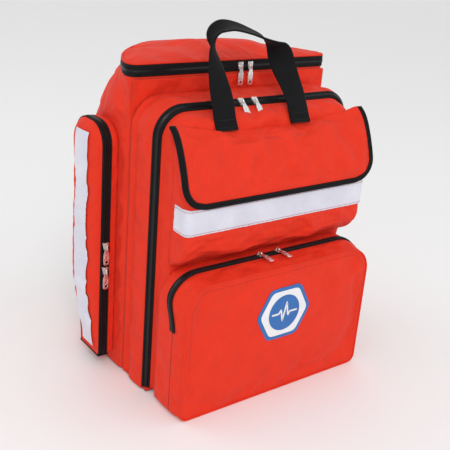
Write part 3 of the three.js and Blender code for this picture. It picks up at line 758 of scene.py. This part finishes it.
co = get_co(flap).reshape(FLAP_ROWS, FLAP_COLS, 3) / MM
normals = get_co(flap, "normal").reshape(FLAP_ROWS, FLAP_COLS, 3)
edge = resample(np.hstack([flap_edge(co), flap_edge(normals)]), 220)
for _ in range(2):
    edge[1:-1] = (edge[:-2] + edge[1:-1] * 2 + edge[2:]) / 4
edge, edge_out = edge[:, :3], edge[:, 3:]
t = tangents(edge)
edge_out = square_to(unit(edge_out), t)
edge_in = np.cross(t, edge_out)
if np.sum((co[FLAP_ROWS // 2, FLAP_COLS // 2] - edge) * edge_in) < 0:
    edge_in = -edge_in
fold = [(6.6, -2.3), (-0.8, -2.3), (-2.0, -1.265), (-2.3, 0), (-2.0, 1.265), (-0.8, 2.3),
        (6.6, 2.3), (6.6, 0)]
rim = strip_section(edge - edge_out, edge_out, edge_in, fold, "flap_binding", [binding])
place(rim, "flap", "black_webbing")
stitch("flap_binding_stitch", [edge + edge_in * 5.2 + edge_out * 1.45], edge_out, "flap", thread,
       "zip_tape")

# ---------------------------------------------------------------- lower pocket
LOWER_COLS = 250
BACK_HALF, FACE_HALF = 176.4, 171.5
base = rounded(-177.4, 177.4, 0.8, 215, 44, 13, LOWER_COLS)
brow = rounded(-FACE_HALF, FACE_HALF, 0.8, 209.5, 41, 12, LOWER_COLS)


def lower_zip_y(outline):
    """The pocket's zip runs nearer the front where it comes down the sides."""
    x, z = outline.T
    return -136 - 14 * smooth_step(np.abs(x), 150, 172) * smooth_step(-z, -192, -140)


zip_y = lower_zip_y(base)
rows = [to_xz(base, PANEL_FACE_Y + (zip_y - PANEL_FACE_Y) * f) for f in np.linspace(0, 1, 9)]
lower_gusset = grid_mesh("lower_gusset_skin", rows, closed=True, flip=True)
co, row, _ = cells(lower_gusset, LOWER_COLS)
free = held_ends(row, 8, (0, 2), (2, 4)) * smooth_step(co[:, 2], 3, 14)
wrinkle(lower_gusset, free, 11, slack=0.02, pressure=0.8, cap=0.003)
place(thicken(lower_gusset), "front_panel", "orange_fabric", "lower_pocket_gusset",
      "lower_pocket_base")

# the pocket's back wall, seen when the pocket is open
rows = []
for z in [*np.linspace(2, 13.6, 7), *np.linspace(20, 164, 10), *np.linspace(171, 213.6, 16)]:
    half = half_width(z, BACK_HALF, 1.8, 214, 12, 43)
    rows.append([(x, -112.4, z) for x in np.linspace(-half, half, 40)])
lower_back = grid_mesh("lower_back_skin", rows)
place(thicken(lower_back, 1.0, 0), "front_panel", "orange_fabric", "front_panel")

rows = []
for f in np.linspace(0, 1, 10):
    rows.append(to_xz(base + (brow - base) * f ** 1.6,
                      zip_y - 0.4 + (POCKET_FACE_Y - zip_y + 0.4) * f))
lower_rim = grid_mesh("lower_rim_skin", rows, closed=True, flip=True)
co, row, _ = cells(lower_rim, LOWER_COLS)
free = held_ends(row, 9, (2, 4), (0, 3)) * smooth_step(co[:, 2], 3, 14)
wrinkle(lower_rim, free, 12, slack=0.045, pressure=0.6, cap=0.0045, size=0.035)

FACE_ROWS, FACE_COLS = 48, 78
rows = []
for z in np.linspace(0.8, 209.5, FACE_ROWS):
    half = half_width(z, FACE_HALF, 0.8, 209.5, 12, 41)
    rows.append([(x, POCKET_FACE_Y, z) for x in np.linspace(-half, half, FACE_COLS)])
lower_face = grid_mesh("lower_face_skin", rows)
_, row, col = cells(lower_face, FACE_COLS)
free = np.minimum(held_ends(row, FACE_ROWS - 1, (0, 4), (0, 4)),
                  held_ends(col, FACE_COLS - 1, (0, 4), (0, 4)))
wrinkle(lower_face, free, 13, slack=0.025, pressure=2.0, cap=0.006, size=0.05, start=0.0028)
face_tree = surface_of(lower_face)


def on_face(outline, lift):
    """Points in x and z dropped onto the lower pocket's face from the front."""
    return onto(face_tree, [(x, -190, z) for x, z in outline], (0, 1, 0), lift, far=20)


line = np.vstack([brow, brow[:1]])
piping = strip_section(to_xz(line, -174.2), [0, -1, 0], to_xz(flat_normals(line), 0),
                       circle(0, 0, 1.5, 6), "lower_pocket_piping", [orange])
thicken(lower_rim)
thicken(lower_face)
for piece in (lower_rim, lower_face, piping):
    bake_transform(piece)
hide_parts("lower_pocket_front")

track = base[(base[:, 1] > 137) & (np.abs(np.arange(LOWER_COLS) - 125) < 110)]
track_out = to_xz(flat_normals(track), 0)
zip_track("lower_zip", to_xz(track, lower_zip_y(track) - 0.2) + track_out * 0.9, track_out,
          [0, -1, 0], (("front_panel", "lower_zip_rear_tape"),
                       ("lower_pocket", "lower_zip_front_tape")), half=6.2)
seam = rounded(-163, 163, 8, 201.5, 34, 8, 300)[60:240]
stitch("lower_face_stitch", [on_face(seam, 0.35)], [0, -1, 0], "lower_pocket", thread_orange,
       "orange_fabric", 0.3)

# ---------------------------------------------------------------- patch
# A plain six-sided patch: white ground, blue border and disc, and a pulse line across the disc.


def plate(name, outline, y_front, thick, mat):
    """A thin flat plate with its front at y_front."""
    pts = to_xz(outline, y_front)
    n = len(pts)
    verts = np.vstack([pts, pts + [0, thick, 0], pts.mean(0)])
    faces = [(2 * n, k, (k + 1) % n) for k in range(n)]
    faces += [(k, n + k, n + (k + 1) % n, (k + 1) % n) for k in range(n)]
    obj = add_mesh(name, verts * MM, faces, verts[:, ::2] * MM, [mat], smooth=False)
    with editing(obj):
        pass  # only turns the faces outward
    return place(obj, "lower_pocket", "patch")


def hexagon(scale):
    """A hexagon with 12 points to a side and softened corners."""
    corners = np.array([(-49, 0), (-27, 40), (27, 40), (49, 0), (27, -40), (-27, -40)], float)
    corners *= scale * 1.05
    pts = np.array([a + (b - a) * k / 12 for a, b in zip(corners, np.roll(corners, -1, axis=0))
                    for k in range(12)])
    for _ in range(3):
        pts = (np.roll(pts, 1, axis=0) + pts * 2 + np.roll(pts, -1, axis=0)) / 4
    return pts + PATCH_AT


probe = [p * k + PATCH_AT * (1 - k) for k in (0.25, 0.5, 0.75, 1.0) for p in hexagon(1.0)]
patch_y = float(np.min(on_face(probe, 0.5)[:, 1]))
plate("patch_border", hexagon(1.0), patch_y, 4.2, patch_blue)
ground = plate("patch_ground", hexagon(0.87), patch_y - 0.35, 1.0, patch_white)
plate("patch_disc", np.array(circle(*PATCH_AT, 29, 48)), patch_y - 0.7, 1.0, patch_blue)
beat = [(-24, 0), (-11, 0), (-7, 6), (-3, -13), (3, 17), (7, -6), (10, 0), (24, 0)]
line = []
for (x0, z0), (x1, z1) in zip(beat, beat[1:]):
    steps = max(int(math.hypot(x1 - x0, z1 - z0) / 2.5), 1)
    line += [(x0 + (x1 - x0) * k / steps, z0 + (z1 - z0) * k / steps) for k in range(steps)]
line = np.array(line + [beat[-1]]) + PATCH_AT
pulse = strip_section(to_xz(line, patch_y - 0.9), [0, -1, 0],
                      to_xz(flat_normals(line), 0),
                      [(-1.5, -0.4), (1.5, -0.4), (1.2, 0.5), (-1.2, 0.5)], "patch_pulse",
                      [patch_white])
place(pulse, "lower_pocket", "patch")
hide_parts("badge")

# ---------------------------------------------------------------- side pockets
SIDE_COLS = 190


def side_outline(y_back=98, inset=0.0):
    """The side pocket's outline in y and z."""
    return slumped(rounded(14, y_back, 20, 391, 32, 4, SIDE_COLS, inset))


def slumped(yz):
    """The side pocket's outline draws forward near its foot."""
    low = 1 - smooth_step(yz[:, 1], 22, 150)
    return np.column_stack([14 + (yz[:, 0] - 14) * (1 - 0.3 * low), yz[:, 1]])


def on_cover(tree, y, sgn):
    """A line up the side cover's face; it draws forward at the foot, as the outline does."""
    line = [(sgn * 217, y - 8 * (1 - float(smooth_step(z, 30, 140))), z)
            for z in np.linspace(34, 378, 150)]
    return onto(tree, line, (-sgn, 0, 0), 1.7, far=30)


# inset, x and how far the rear edge leans in, from the zip to the face
cover_profile = [(0, 196.6, 0), (0, 200.5, 0), (0, 204, 1), (1.5, 208, 4), (4, 211.6, 8),
                 (8.5, 214.4, 10), (14, 216, 10), (20, 216.6, 10), (26, 216.9, 10), (32, 217, 10)]

for tag, sgn in (("left", -1), ("right", 1)):
    outline = side_outline()
    rows = [np.column_stack([np.full(SIDE_COLS, sgn * x), outline])
            for x in np.linspace(178.4, SIDE_ZIP_X - 0.3, 8)]
    side_gusset = grid_mesh(f"side_gusset_skin_{tag}", rows, closed=True, flip=sgn > 0)
    _, row, _ = cells(side_gusset, SIDE_COLS)
    wrinkle(side_gusset, held_ends(row, 7, (0, 2), (3, 5)), 21 + sgn, slack=0.02, pressure=0.3,
            cap=0.002)
    place(thicken(side_gusset), "pack", "orange_fabric", f"side_pocket_gusset_{tag}")

    rows = []
    for inset, x, slope in cover_profile:
        outline = side_outline(98 - slope, inset)
        low = 1 - smooth_step(outline[:, 1], 22, 140)
        rows.append(np.column_stack([sgn * (x - 9 * low * smooth_step(x, 204, 213)), outline]))
    cover = grid_mesh(f"side_cover_skin_{tag}", rows, closed=True, flip=sgn > 0)
    close_ring(cover, SIDE_COLS * (len(rows) - 1), SIDE_COLS)
    co, row, _ = cells(cover, SIDE_COLS)
    free = smooth_step(row, 2, 5) * (0.25 + 0.75 * smooth_step(co[:, 2], 24, 64))
    wrinkle(cover, free, 31 + sgn, slack=0.025, pressure=1.8, cap=0.0055, size=0.06, start=0.0016)
    place(thicken(cover), f"side_cover_{tag}", "orange_fabric", f"side_pocket_cover_{tag}")

    tree = surface_of(cover)
    cols = np.array([on_cover(tree, y, sgn) for y in np.linspace(31, 66, 13)])
    side_tape = grid_mesh(f"side_reflective_tape_{tag}", cols.transpose(1, 0, 2), [silver],
                          flip=sgn > 0)
    place(thicken(side_tape, 0.7, 1, 0), f"side_cover_{tag}", "reflective_tape",
          f"side_reflective_band_{tag}")
    seams = [cols[a] * 0.7 + cols[b] * 0.3 + [sgn * 0.2, 0, 0] for a, b in ((0, 1), (-1, -2))]
    stitch(f"side_tape_stitch_{tag}", seams, [sgn, 0, 0], f"side_cover_{tag}", thread_orange,
           "reflective_tape", 0.3)

    half_ring = resample(slumped(arch(42, 21, 391, 32, 180) + [56, 0]), 180)
    normal = np.column_stack([np.zeros(180), flat_normals(half_ring)])
    path = np.column_stack([np.full(180, sgn * SIDE_ZIP_X), half_ring])
    zip_track(f"side_zip_{tag}", path + normal * 0.2, normal, [sgn, 0, 0],
              (("pack", f"side_zip_inner_tape_{tag}"),
               (f"side_cover_{tag}", f"side_zip_outer_tape_{tag}")), half=7.6)
    path = [(sgn * SIDE_ZIP_X, y, 19.4) for y in np.linspace(12.6, 74, 12)]
    foot = strip_section(path, [0, 0, -1], [1, 0, 0], band_section(9, 1.0),
                         f"side_hinge_tape_{tag}", [binding])
    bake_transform(foot)

# ---------------------------------------------------------------- lid
LID_COLS = 170
lid_plan = body_plan(LID_SEAM_Z, LID_COLS, grow=0.2)
hub = np.array([0.0, 60.0])
rows = []
for s, z in ((1, 472.6), (1, 476), (1.001, 479), (1.0, 481), (0.988, 482.6), (0.965, 483.8),
             (0.93, 485), (0.88, 486.5), (0.82, 488), (0.75, 489.5), (0.67, 491), (0.58, 492.4),
             (0.48, 493.6), (0.38, 494.5), (0.28, 495.1), (0.18, 495.5), (0.10, 495.7),
             (0.04, 495.8)):
    plan = hub + (lid_plan - hub) * s
    fall = 0.55 * max(z - 481, 0) * smooth_step(plan[:, 1], 55, 125)
    rows.append(np.column_stack([plan, z - fall]))
lid = grid_mesh("lid_skin", rows, closed=True)
close_ring(lid, LID_COLS * (len(rows) - 1), LID_COLS)
_, row, _ = cells(lid, LID_COLS)
wrinkle(lid, smooth_step(row, 2, 5), 41, slack=0.035, pressure=0.5, cap=0.004, size=0.05,
        start=0.003)
place(thicken(lid), "lid", "orange_fabric", "top_lid")


def at_height(plan, z):
    return np.column_stack([plan, np.full(len(plan), z)])


edge = np.vstack([lid_plan, lid_plan[:1]])
lid_piping = strip_section(at_height(edge, 481.4), at_height(normals_from(hub, edge), 0),
                           [0, 0, 1], circle(0, 0, 1.4, 6), "lid_piping", [orange])
place(lid_piping, "lid", "orange_fabric")

# the zip runs round the sides and front, from one end of the hinge to the other
from_rear = np.roll(lid_plan, LID_COLS // 2, axis=0)
run = resample(from_rear[from_rear[:, 1] < 104], 260)
run_out = normals_from(hub, run)
zip_track("lid_zip", at_height(run + run_out * 0.5, LID_SEAM_Z), at_height(run_out, 0),
          [0, 0, 1], (("pack", "lid_zip_lower_tape"), ("lid", "lid_zip_upper_tape")),
          half=8.3)
at_back = lid_plan[:, 1] >= 100
start = int(np.argmax(at_back))
rear = resample(lid_plan[start:start + int(np.sum(at_back))], 70)
rear = rear + normals_from(hub, rear) * 1.1
rows = [at_height(rear, z) for z in np.linspace(462, 482, 11)]
hinge_tape = grid_mesh("lid_hinge_tape", rows, [binding])
thicken(hinge_tape, 1.0, 0, 0)
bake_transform(hinge_tape)

# ---------------------------------------------------------------- carry handle
# x, y, z and how far the webbing has turned from lying across to standing on edge
foot = [(-117, 407), (-112.4, 415), (-107.6, 425)]
stations = np.array([(-84, y, z, 0) for y, z in foot]
                    + [(-84, -102, 441, 0), (-85, -93, 463, .08), (-85, -80, 492, .35),
                       (-84, -70, 514, .62), (-76, -63, 530, .8), (-58, -60, 538, .92),
                       (-34, -61, 535, .95), (-5, -63, 526, .9), (16, -66, 517, .8),
                       (30, -71, 503, .55), (38, -81, 478, .25), (45, -94, 453, .06),
                       (48, -102, 436, 0)]
                    + [(48, y, z, 0) for y, z in foot[::-1]], float)
angle = stations[:, 3] * math.pi / 2
side = np.where(np.arange(len(stations)) < len(stations) / 2, 1.0, -1.0)
wide_at = np.stack([side * np.cos(angle), np.sin(angle), 0.26 * np.sin(angle) ** 2], 1)
run = spline(np.hstack([stations[:, :3], wide_at]), 8)
mid, wide = run[:, :3], run[:, 3:]
t = tangents(mid)
wide = unit(square_to(wide, t))
out = np.cross(t, wide)
steps = np.linspace(-1, 1, 13)
curl = np.outer(np.sin(np.linspace(0, math.pi, len(mid))) ** 0.5, 2.6 * (steps ** 2 - 0.4))
rows = (mid[:, None] + wide[:, None] * (steps * HANDLE_HALF)[None, :, None]
        + out[:, None] * curl[..., None])
handle = grid_mesh("carry_handle_webbing", rows, [webbing])
solidify = handle.modifiers.new("thickness", "SOLIDIFY")
solidify.thickness = 0.0028
solidify.offset = 0
soften(handle)
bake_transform(handle)
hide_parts("carry_handle")
for tag, cx in (("left", -84), ("right", 48)):
    lines = [[(x, -109.6 - (425 - z) * 0.52, z) for x in np.linspace(cx - 15, cx + 15, 20)]
             for z in (409, 412, 421)]
    stitch(f"handle_stitch_{tag}", lines, [0.0, -0.92, -0.38], "front_panel", thread,
           "black_webbing", 0.3)
for side, tag in ((-1, "a"), (1, "b")):
    line = (mid + wide * side * 15.5 + out * 2.2)[24:-24]
    stitch(f"handle_edge_{tag}", [line], out[24:-24], "handle", thread, "black_webbing")

# ---------------------------------------------------------------- back pad and straps
PAD_HALF, PAD_LOW, PAD_TOP, PAD_BACK_Y = 114, 81, 339, 135.7
px, pz = np.meshgrid(np.linspace(-PAD_HALF, PAD_HALF, 61), np.linspace(PAD_LOW, PAD_TOP, 69))
edge_x = np.clip((PAD_HALF - np.abs(px)) / 16, 0, 1)
edge_z = np.clip(np.minimum(pz - PAD_LOW, PAD_TOP - pz) / 16, 0, 1)
dome = np.sqrt(np.clip(1 - (1 - edge_x) ** 2, 0, 1)) * np.sqrt(np.clip(1 - (1 - edge_z) ** 2, 0, 1))
channel = np.abs(((pz - PAD_LOW) % 51.6) - 25.8) / 25.8
groove = np.exp(-((1 - channel) / 0.13) ** 2)
pad = grid_mesh("back_pad_quilt", np.dstack([px, 136.2 + 10.4 * dome * (1 - 0.62 * groove), pz]),
                [mesh_pad], flip=True)
wrinkle(pad, (dome * (1 - groove)).ravel(), 51, slack=0.02, pressure=1.0, cap=0.002, size=0.02,
        start=0.0005)
with editing(pad) as bm:
    rim = [e for e in bm.edges if e.is_boundary]
    made = bmesh.ops.extrude_edge_only(bm, edges=rim)
    for v in made["geom"]:
        if isinstance(v, bmesh.types.BMVert):
            v.co.y = PAD_BACK_Y * MM
place(pad, "pack", "padding", "back_pad")
line = resample([(-PAD_HALF, PAD_LOW), (PAD_HALF, PAD_LOW), (PAD_HALF, PAD_TOP),
                 (-PAD_HALF, PAD_TOP)], 200, closed=True)
line = np.vstack([line, line[:1]])
pad_rim = strip_section(to_xz(line, 136.6), [0, 1, 0], to_xz(flat_normals(line), 0),
                        band_section(4.5, 1.4, 0.4), "back_pad_binding", [binding])
place(pad_rim, "pack", "black_webbing")

# the straps lie down the back; their lines are y and z
strap_line = spline([[136, 402], [141, 388], [160, 356], [175, 305], [179, 250], [176, 200],
                     [170, 168]], 9)
web_line = spline([[172, 152], [163, 110], [153, 70], [143, 44], [135.6, 30]], 7)
STRAP_HALF, STRAP_MID = 30.6, 5.4  # half the strap's width, and its middle above its line
section = []
for a in np.linspace(0, 2 * math.pi, 33)[:-1]:
    c, s = math.cos(a), math.sin(a)
    section.append((STRAP_HALF * math.copysign(abs(c) ** 0.45, c),
                    STRAP_MID + 5.0 * math.copysign(abs(s) ** 0.6, s)))


def strap_frame(yz, x_low, x_top, sgn):
    """The points of a strap that leans from x_top to x_low on its way down, and their normals."""
    t = tangents(yz)
    up = (yz[:, 1] - yz[-1, 1]) / (yz[0, 1] - yz[-1, 1])
    points = np.column_stack([sgn * (x_low + (x_top - x_low) * up), yz])
    return points, np.column_stack([np.zeros(len(t)), -t[:, 1], t[:, 0]])


for tag, sgn in (("left", 1), ("right", -1)):
    mid, out = strap_frame(strap_line, -100, -62, sgn)
    across = [1, 0, 0]
    strap = strip_section(mid, out, across, section, f"shoulder_strap_pad_{tag}", [mesh_pad])
    co, ring, _ = cells(strap, len(section))
    co = co * MM
    pinch = 1 - 0.10 * np.exp(-(((ring % 9) - 4.5) / 0.8) ** 2)
    core = (mid[ring] + out[ring] * STRAP_MID) * MM
    grain = get_co(strap, "normal") * (ripple(co, 0.02, 7) * 0.0003)[:, None]
    set_co(strap, core + (co - core) * pinch[:, None] + grain)
    place(strap, "pack", "padding", f"shoulder_strap_{tag}")
    for side, end in ((-1, "a"), (1, "b")):
        line = mid + out * STRAP_MID + [side * 30.2, 0, 0]
        trim = strip_section(line, out, across,
                             [(-2.0, -3.0), (0.9, -3.0), (1.6, 0), (0.9, 3.0), (-2.0, 3.0)],
                             f"strap_trim_{tag}_{end}", [binding])
        place(trim, "pack", "black_webbing")
    rib = strip_section(mid + out * 10.9, out, across, band_section(12.5, 1.2),
                        f"strap_band_{tag}", [webbing])
    place(rib, "pack", "black_webbing")
    mid, out = strap_frame(web_line, -140, -104, sgn)
    web = strip_section(mid + out * 1.1, out, [1, 0, 0], band_section(12.5, 2.1),
                        f"strap_webbing_tape_{tag}", [webbing])
    place(web, "pack", "black_webbing", f"strap_webbing_{tag}")

# ---------------------------------------------------------------- parts kept from the CAD
for node, mat, bevel in (("frame_sheet", board, 0), ("ladder_lock_left", plastic, 0.0008),
                         ("ladder_lock_right", plastic, 0.0008)):
    obj = bpy.data.objects[node]
    for material_slot in obj.material_slots:
        material_slot.material = mat
    if bevel:
        mod = obj.modifiers.new("edge", "BEVEL")
        mod.width = bevel
        mod.segments = 2
        mod.limit_method = "ANGLE"

# ---------------------------------------------------------------- zip sliders and pulls


def flat_plate(name, outlines, thick, bevel, y_mid=0.0):
    """A bevelled plate with holes, its outline in x and z, centred on y_mid."""
    curve = bpy.data.curves.new(name, "CURVE")
    curve.dimensions = "2D"
    curve.fill_mode = "BOTH"
    curve.extrude = (thick / 2 - bevel) * MM
    curve.bevel_depth = bevel * MM
    curve.bevel_resolution = 2
    curve.offset = -bevel * MM
    for outline in outlines:
        line = curve.splines.new("POLY")
        line.points.add(len(outline) - 1)
        for point, (x, z) in zip(line.points, outline):
            point.co = (x * MM, z * MM, 0, 1)
        line.use_cyclic_u = True
    shape = bpy.data.objects.new(name, curve)
    scene.collection.objects.link(shape)
    depsgraph = bpy.context.evaluated_depsgraph_get()
    mesh = bpy.data.meshes.new_from_object(shape.evaluated_get(depsgraph))
    bpy.data.objects.remove(shape)
    mesh.transform(Matrix.Translation((0, y_mid * MM, 0)) @ Matrix.Rotation(math.pi / 2, 4, "X"))
    mesh.polygons.foreach_set("use_smooth", [False] * len(mesh.polygons))
    return mesh


def smooth_outline(points):
    """Cuts the corners of a closed outline, twice."""
    p = np.array(points, float)
    for _ in range(2):
        q = np.roll(p, -1, axis=0)
        p = np.stack([p * 0.75 + q * 0.25, p * 0.25 + q * 0.75], 1).reshape(-1, 2)
    return [tuple(v) for v in p]


def box_outline(half, top, low):
    return smooth_outline([(-half, top), (half, top), (half, low), (-half, low)])


pull_outline = smooth_outline([(-2.6, 0.9), (2.6, 0.9), (3.0, -6.4), (3.4, -8.6), (4.7, -11),
                               (4.7, -26.6), (3.0, -29.6), (-3.0, -29.6), (-4.7, -26.6),
                               (-4.7, -11), (-3.4, -8.6), (-3.0, -6.4)])
slider_outline = smooth_outline([(-4.6, 5.6), (-2.2, 6.2), (0, 4.9), (2.2, 6.2), (4.6, 5.6),
                                 (5.0, 2.4), (3.6, -1.2), (3.3, -5.9), (-3.3, -5.9), (-3.6, -1.2),
                                 (-5.0, 2.4)])
wing = smooth_outline([(3.4, 4.4), (4.8, 4.6), (4.8, 1.6), (3.6, -1.4), (3.1, -5.6), (2.5, -5.6),
                       (2.7, -0.8)])
hole = circle(0, -24.4, 2.2)
pull_parts = [
    flat_plate("pull_plate", [pull_outline, box_outline(1.6, -0.7, -5.6), hole], 1.3, 0.3),
    flat_plate("pull_rim", [box_outline(3.3, -12, -20.5), box_outline(2.5, -12.8, -19.7)], 1.9,
               0.2),
    flat_plate("pull_ring", [circle(0, -24.4, 3.0), hole], 1.9, 0.2)]
slider_parts = [
    flat_plate("slider_top", [slider_outline], 1.1, 0.3, -2.3),
    flat_plate("slider_low", [slider_outline], 1.0, 0.25),
    flat_plate("slider_wings", [wing, [(-x, z) for x, z in wing][::-1]], 2.4, 0.15, -1.2)]
path = [(0, -2.6, -3.9), (0, -4.6, -3.9), (0, -5.9, -3.2), (0, -6.6, -1.8), (0, -6.8, 0),
        (0, -6.6, 1.8), (0, -5.9, 3.2), (0, -4.6, 3.9), (0, -2.6, 3.9)]
wide = (1, 0, 0)
bar = [(x, y * 0.8) for x, y in circle(0, 0, 1.0, 8)]
loop = strip_section(path, np.cross(tangents(path), wide), wide, bar, "slider_arch", [nickel])
slider_parts.append(loop.data)
bpy.data.objects.remove(loop)


def merge(name, meshes, matrix):
    """One nickel piece from several meshes."""
    bm = bmesh.new()
    for mesh in meshes:
        bm.from_mesh(mesh)
    bmesh.ops.transform(bm, matrix=matrix, verts=bm.verts)
    data = bpy.data.meshes.new(name)
    bm.to_mesh(data)
    bm.free()
    data.materials.append(nickel)
    obj = bpy.data.objects.new(name, data)
    scene.collection.objects.link(obj)
    return obj


# name, position and how far each slider leans back, in degrees
zips = [("lid_zip_a", 6, -14.5, 472, 0), ("lid_zip_b", 24, -14.5, 472, 0),
        ("front_zip_a", -36, -78.7, 434.5, -45), ("front_zip_b", -12, -78.7, 434.5, -45),
        ("lower_zip_a", -21, -136, 215.6, -90), ("lower_zip_b", 13, -136, 215.6, -90)]
for sgn, tag in ((-1, "left"), (1, "right")):
    zips.append((f"side_zip_upper_{tag}", sgn * SIDE_ZIP_X, 13.5, 206, 0))
    zips.append((f"side_zip_lower_{tag}", sgn * SIDE_ZIP_X, 13.5, 166, 0))
for name, x, y, z, lean in zips:
    spot = Matrix.Translation(Vector((x, y, z)) * MM) @ Matrix.Rotation(math.radians(lean), 4, "X")
    slider = merge(f"{name}_slider_metal", slider_parts, spot)
    place(slider, f"{name}_slider", "nickel", f"{name}_slider")
    pull = merge(f"{name}_pull_metal", pull_parts, spot @ Matrix.Translation((0, -4.4 * MM, 0)))
    place(pull, f"{name}_pull", "nickel", f"{name}_pull")

# ---------------------------------------------------------------- floor and light
floor_mat = Shader("studio_floor").finish({"Base Color": (0.94, 0.94, 0.94, 1), "Roughness": 0.7})
corners = [(x, y, -0.0006) for x, y in ((-6, -6), (6, -6), (6, 6), (-6, 6))]
floor = add_mesh("studio_floor", corners, [(0, 1, 2, 3)], None, [floor_mat], smooth=False)


def lamp(name, place_at, power, size):
    """A round lamp turned to the middle of the pack."""
    data = bpy.data.lights.new(name, "AREA")
    data.energy = power
    data.shape = "DISK"
    data.size = size
    obj = bpy.data.objects.new(name, data)
    scene.collection.objects.link(obj)
    obj.location = place_at
    aim = Vector((0, -0.03, 0.25)) - Vector(place_at)
    obj.rotation_euler = aim.to_track_quat("-Z", "Y").to_euler()


lamp("key_light", (-1.3, -2.2, 2.2), 27, 1.2)
lamp("fill_light", (2.2, -1.6, 1.3), 4, 2.0)
lamp("rim_light", (-1.6, 1.8, 2.0), 6, 1.6)
world = bpy.data.worlds.new("studio")
world.use_nodes = True
world.node_tree.nodes["Background"].inputs[0].default_value = (1, 1, 1, 1)
world.node_tree.nodes["Background"].inputs[1].default_value = 0.78
scene.world = world
scene.view_settings.view_transform = "Standard"
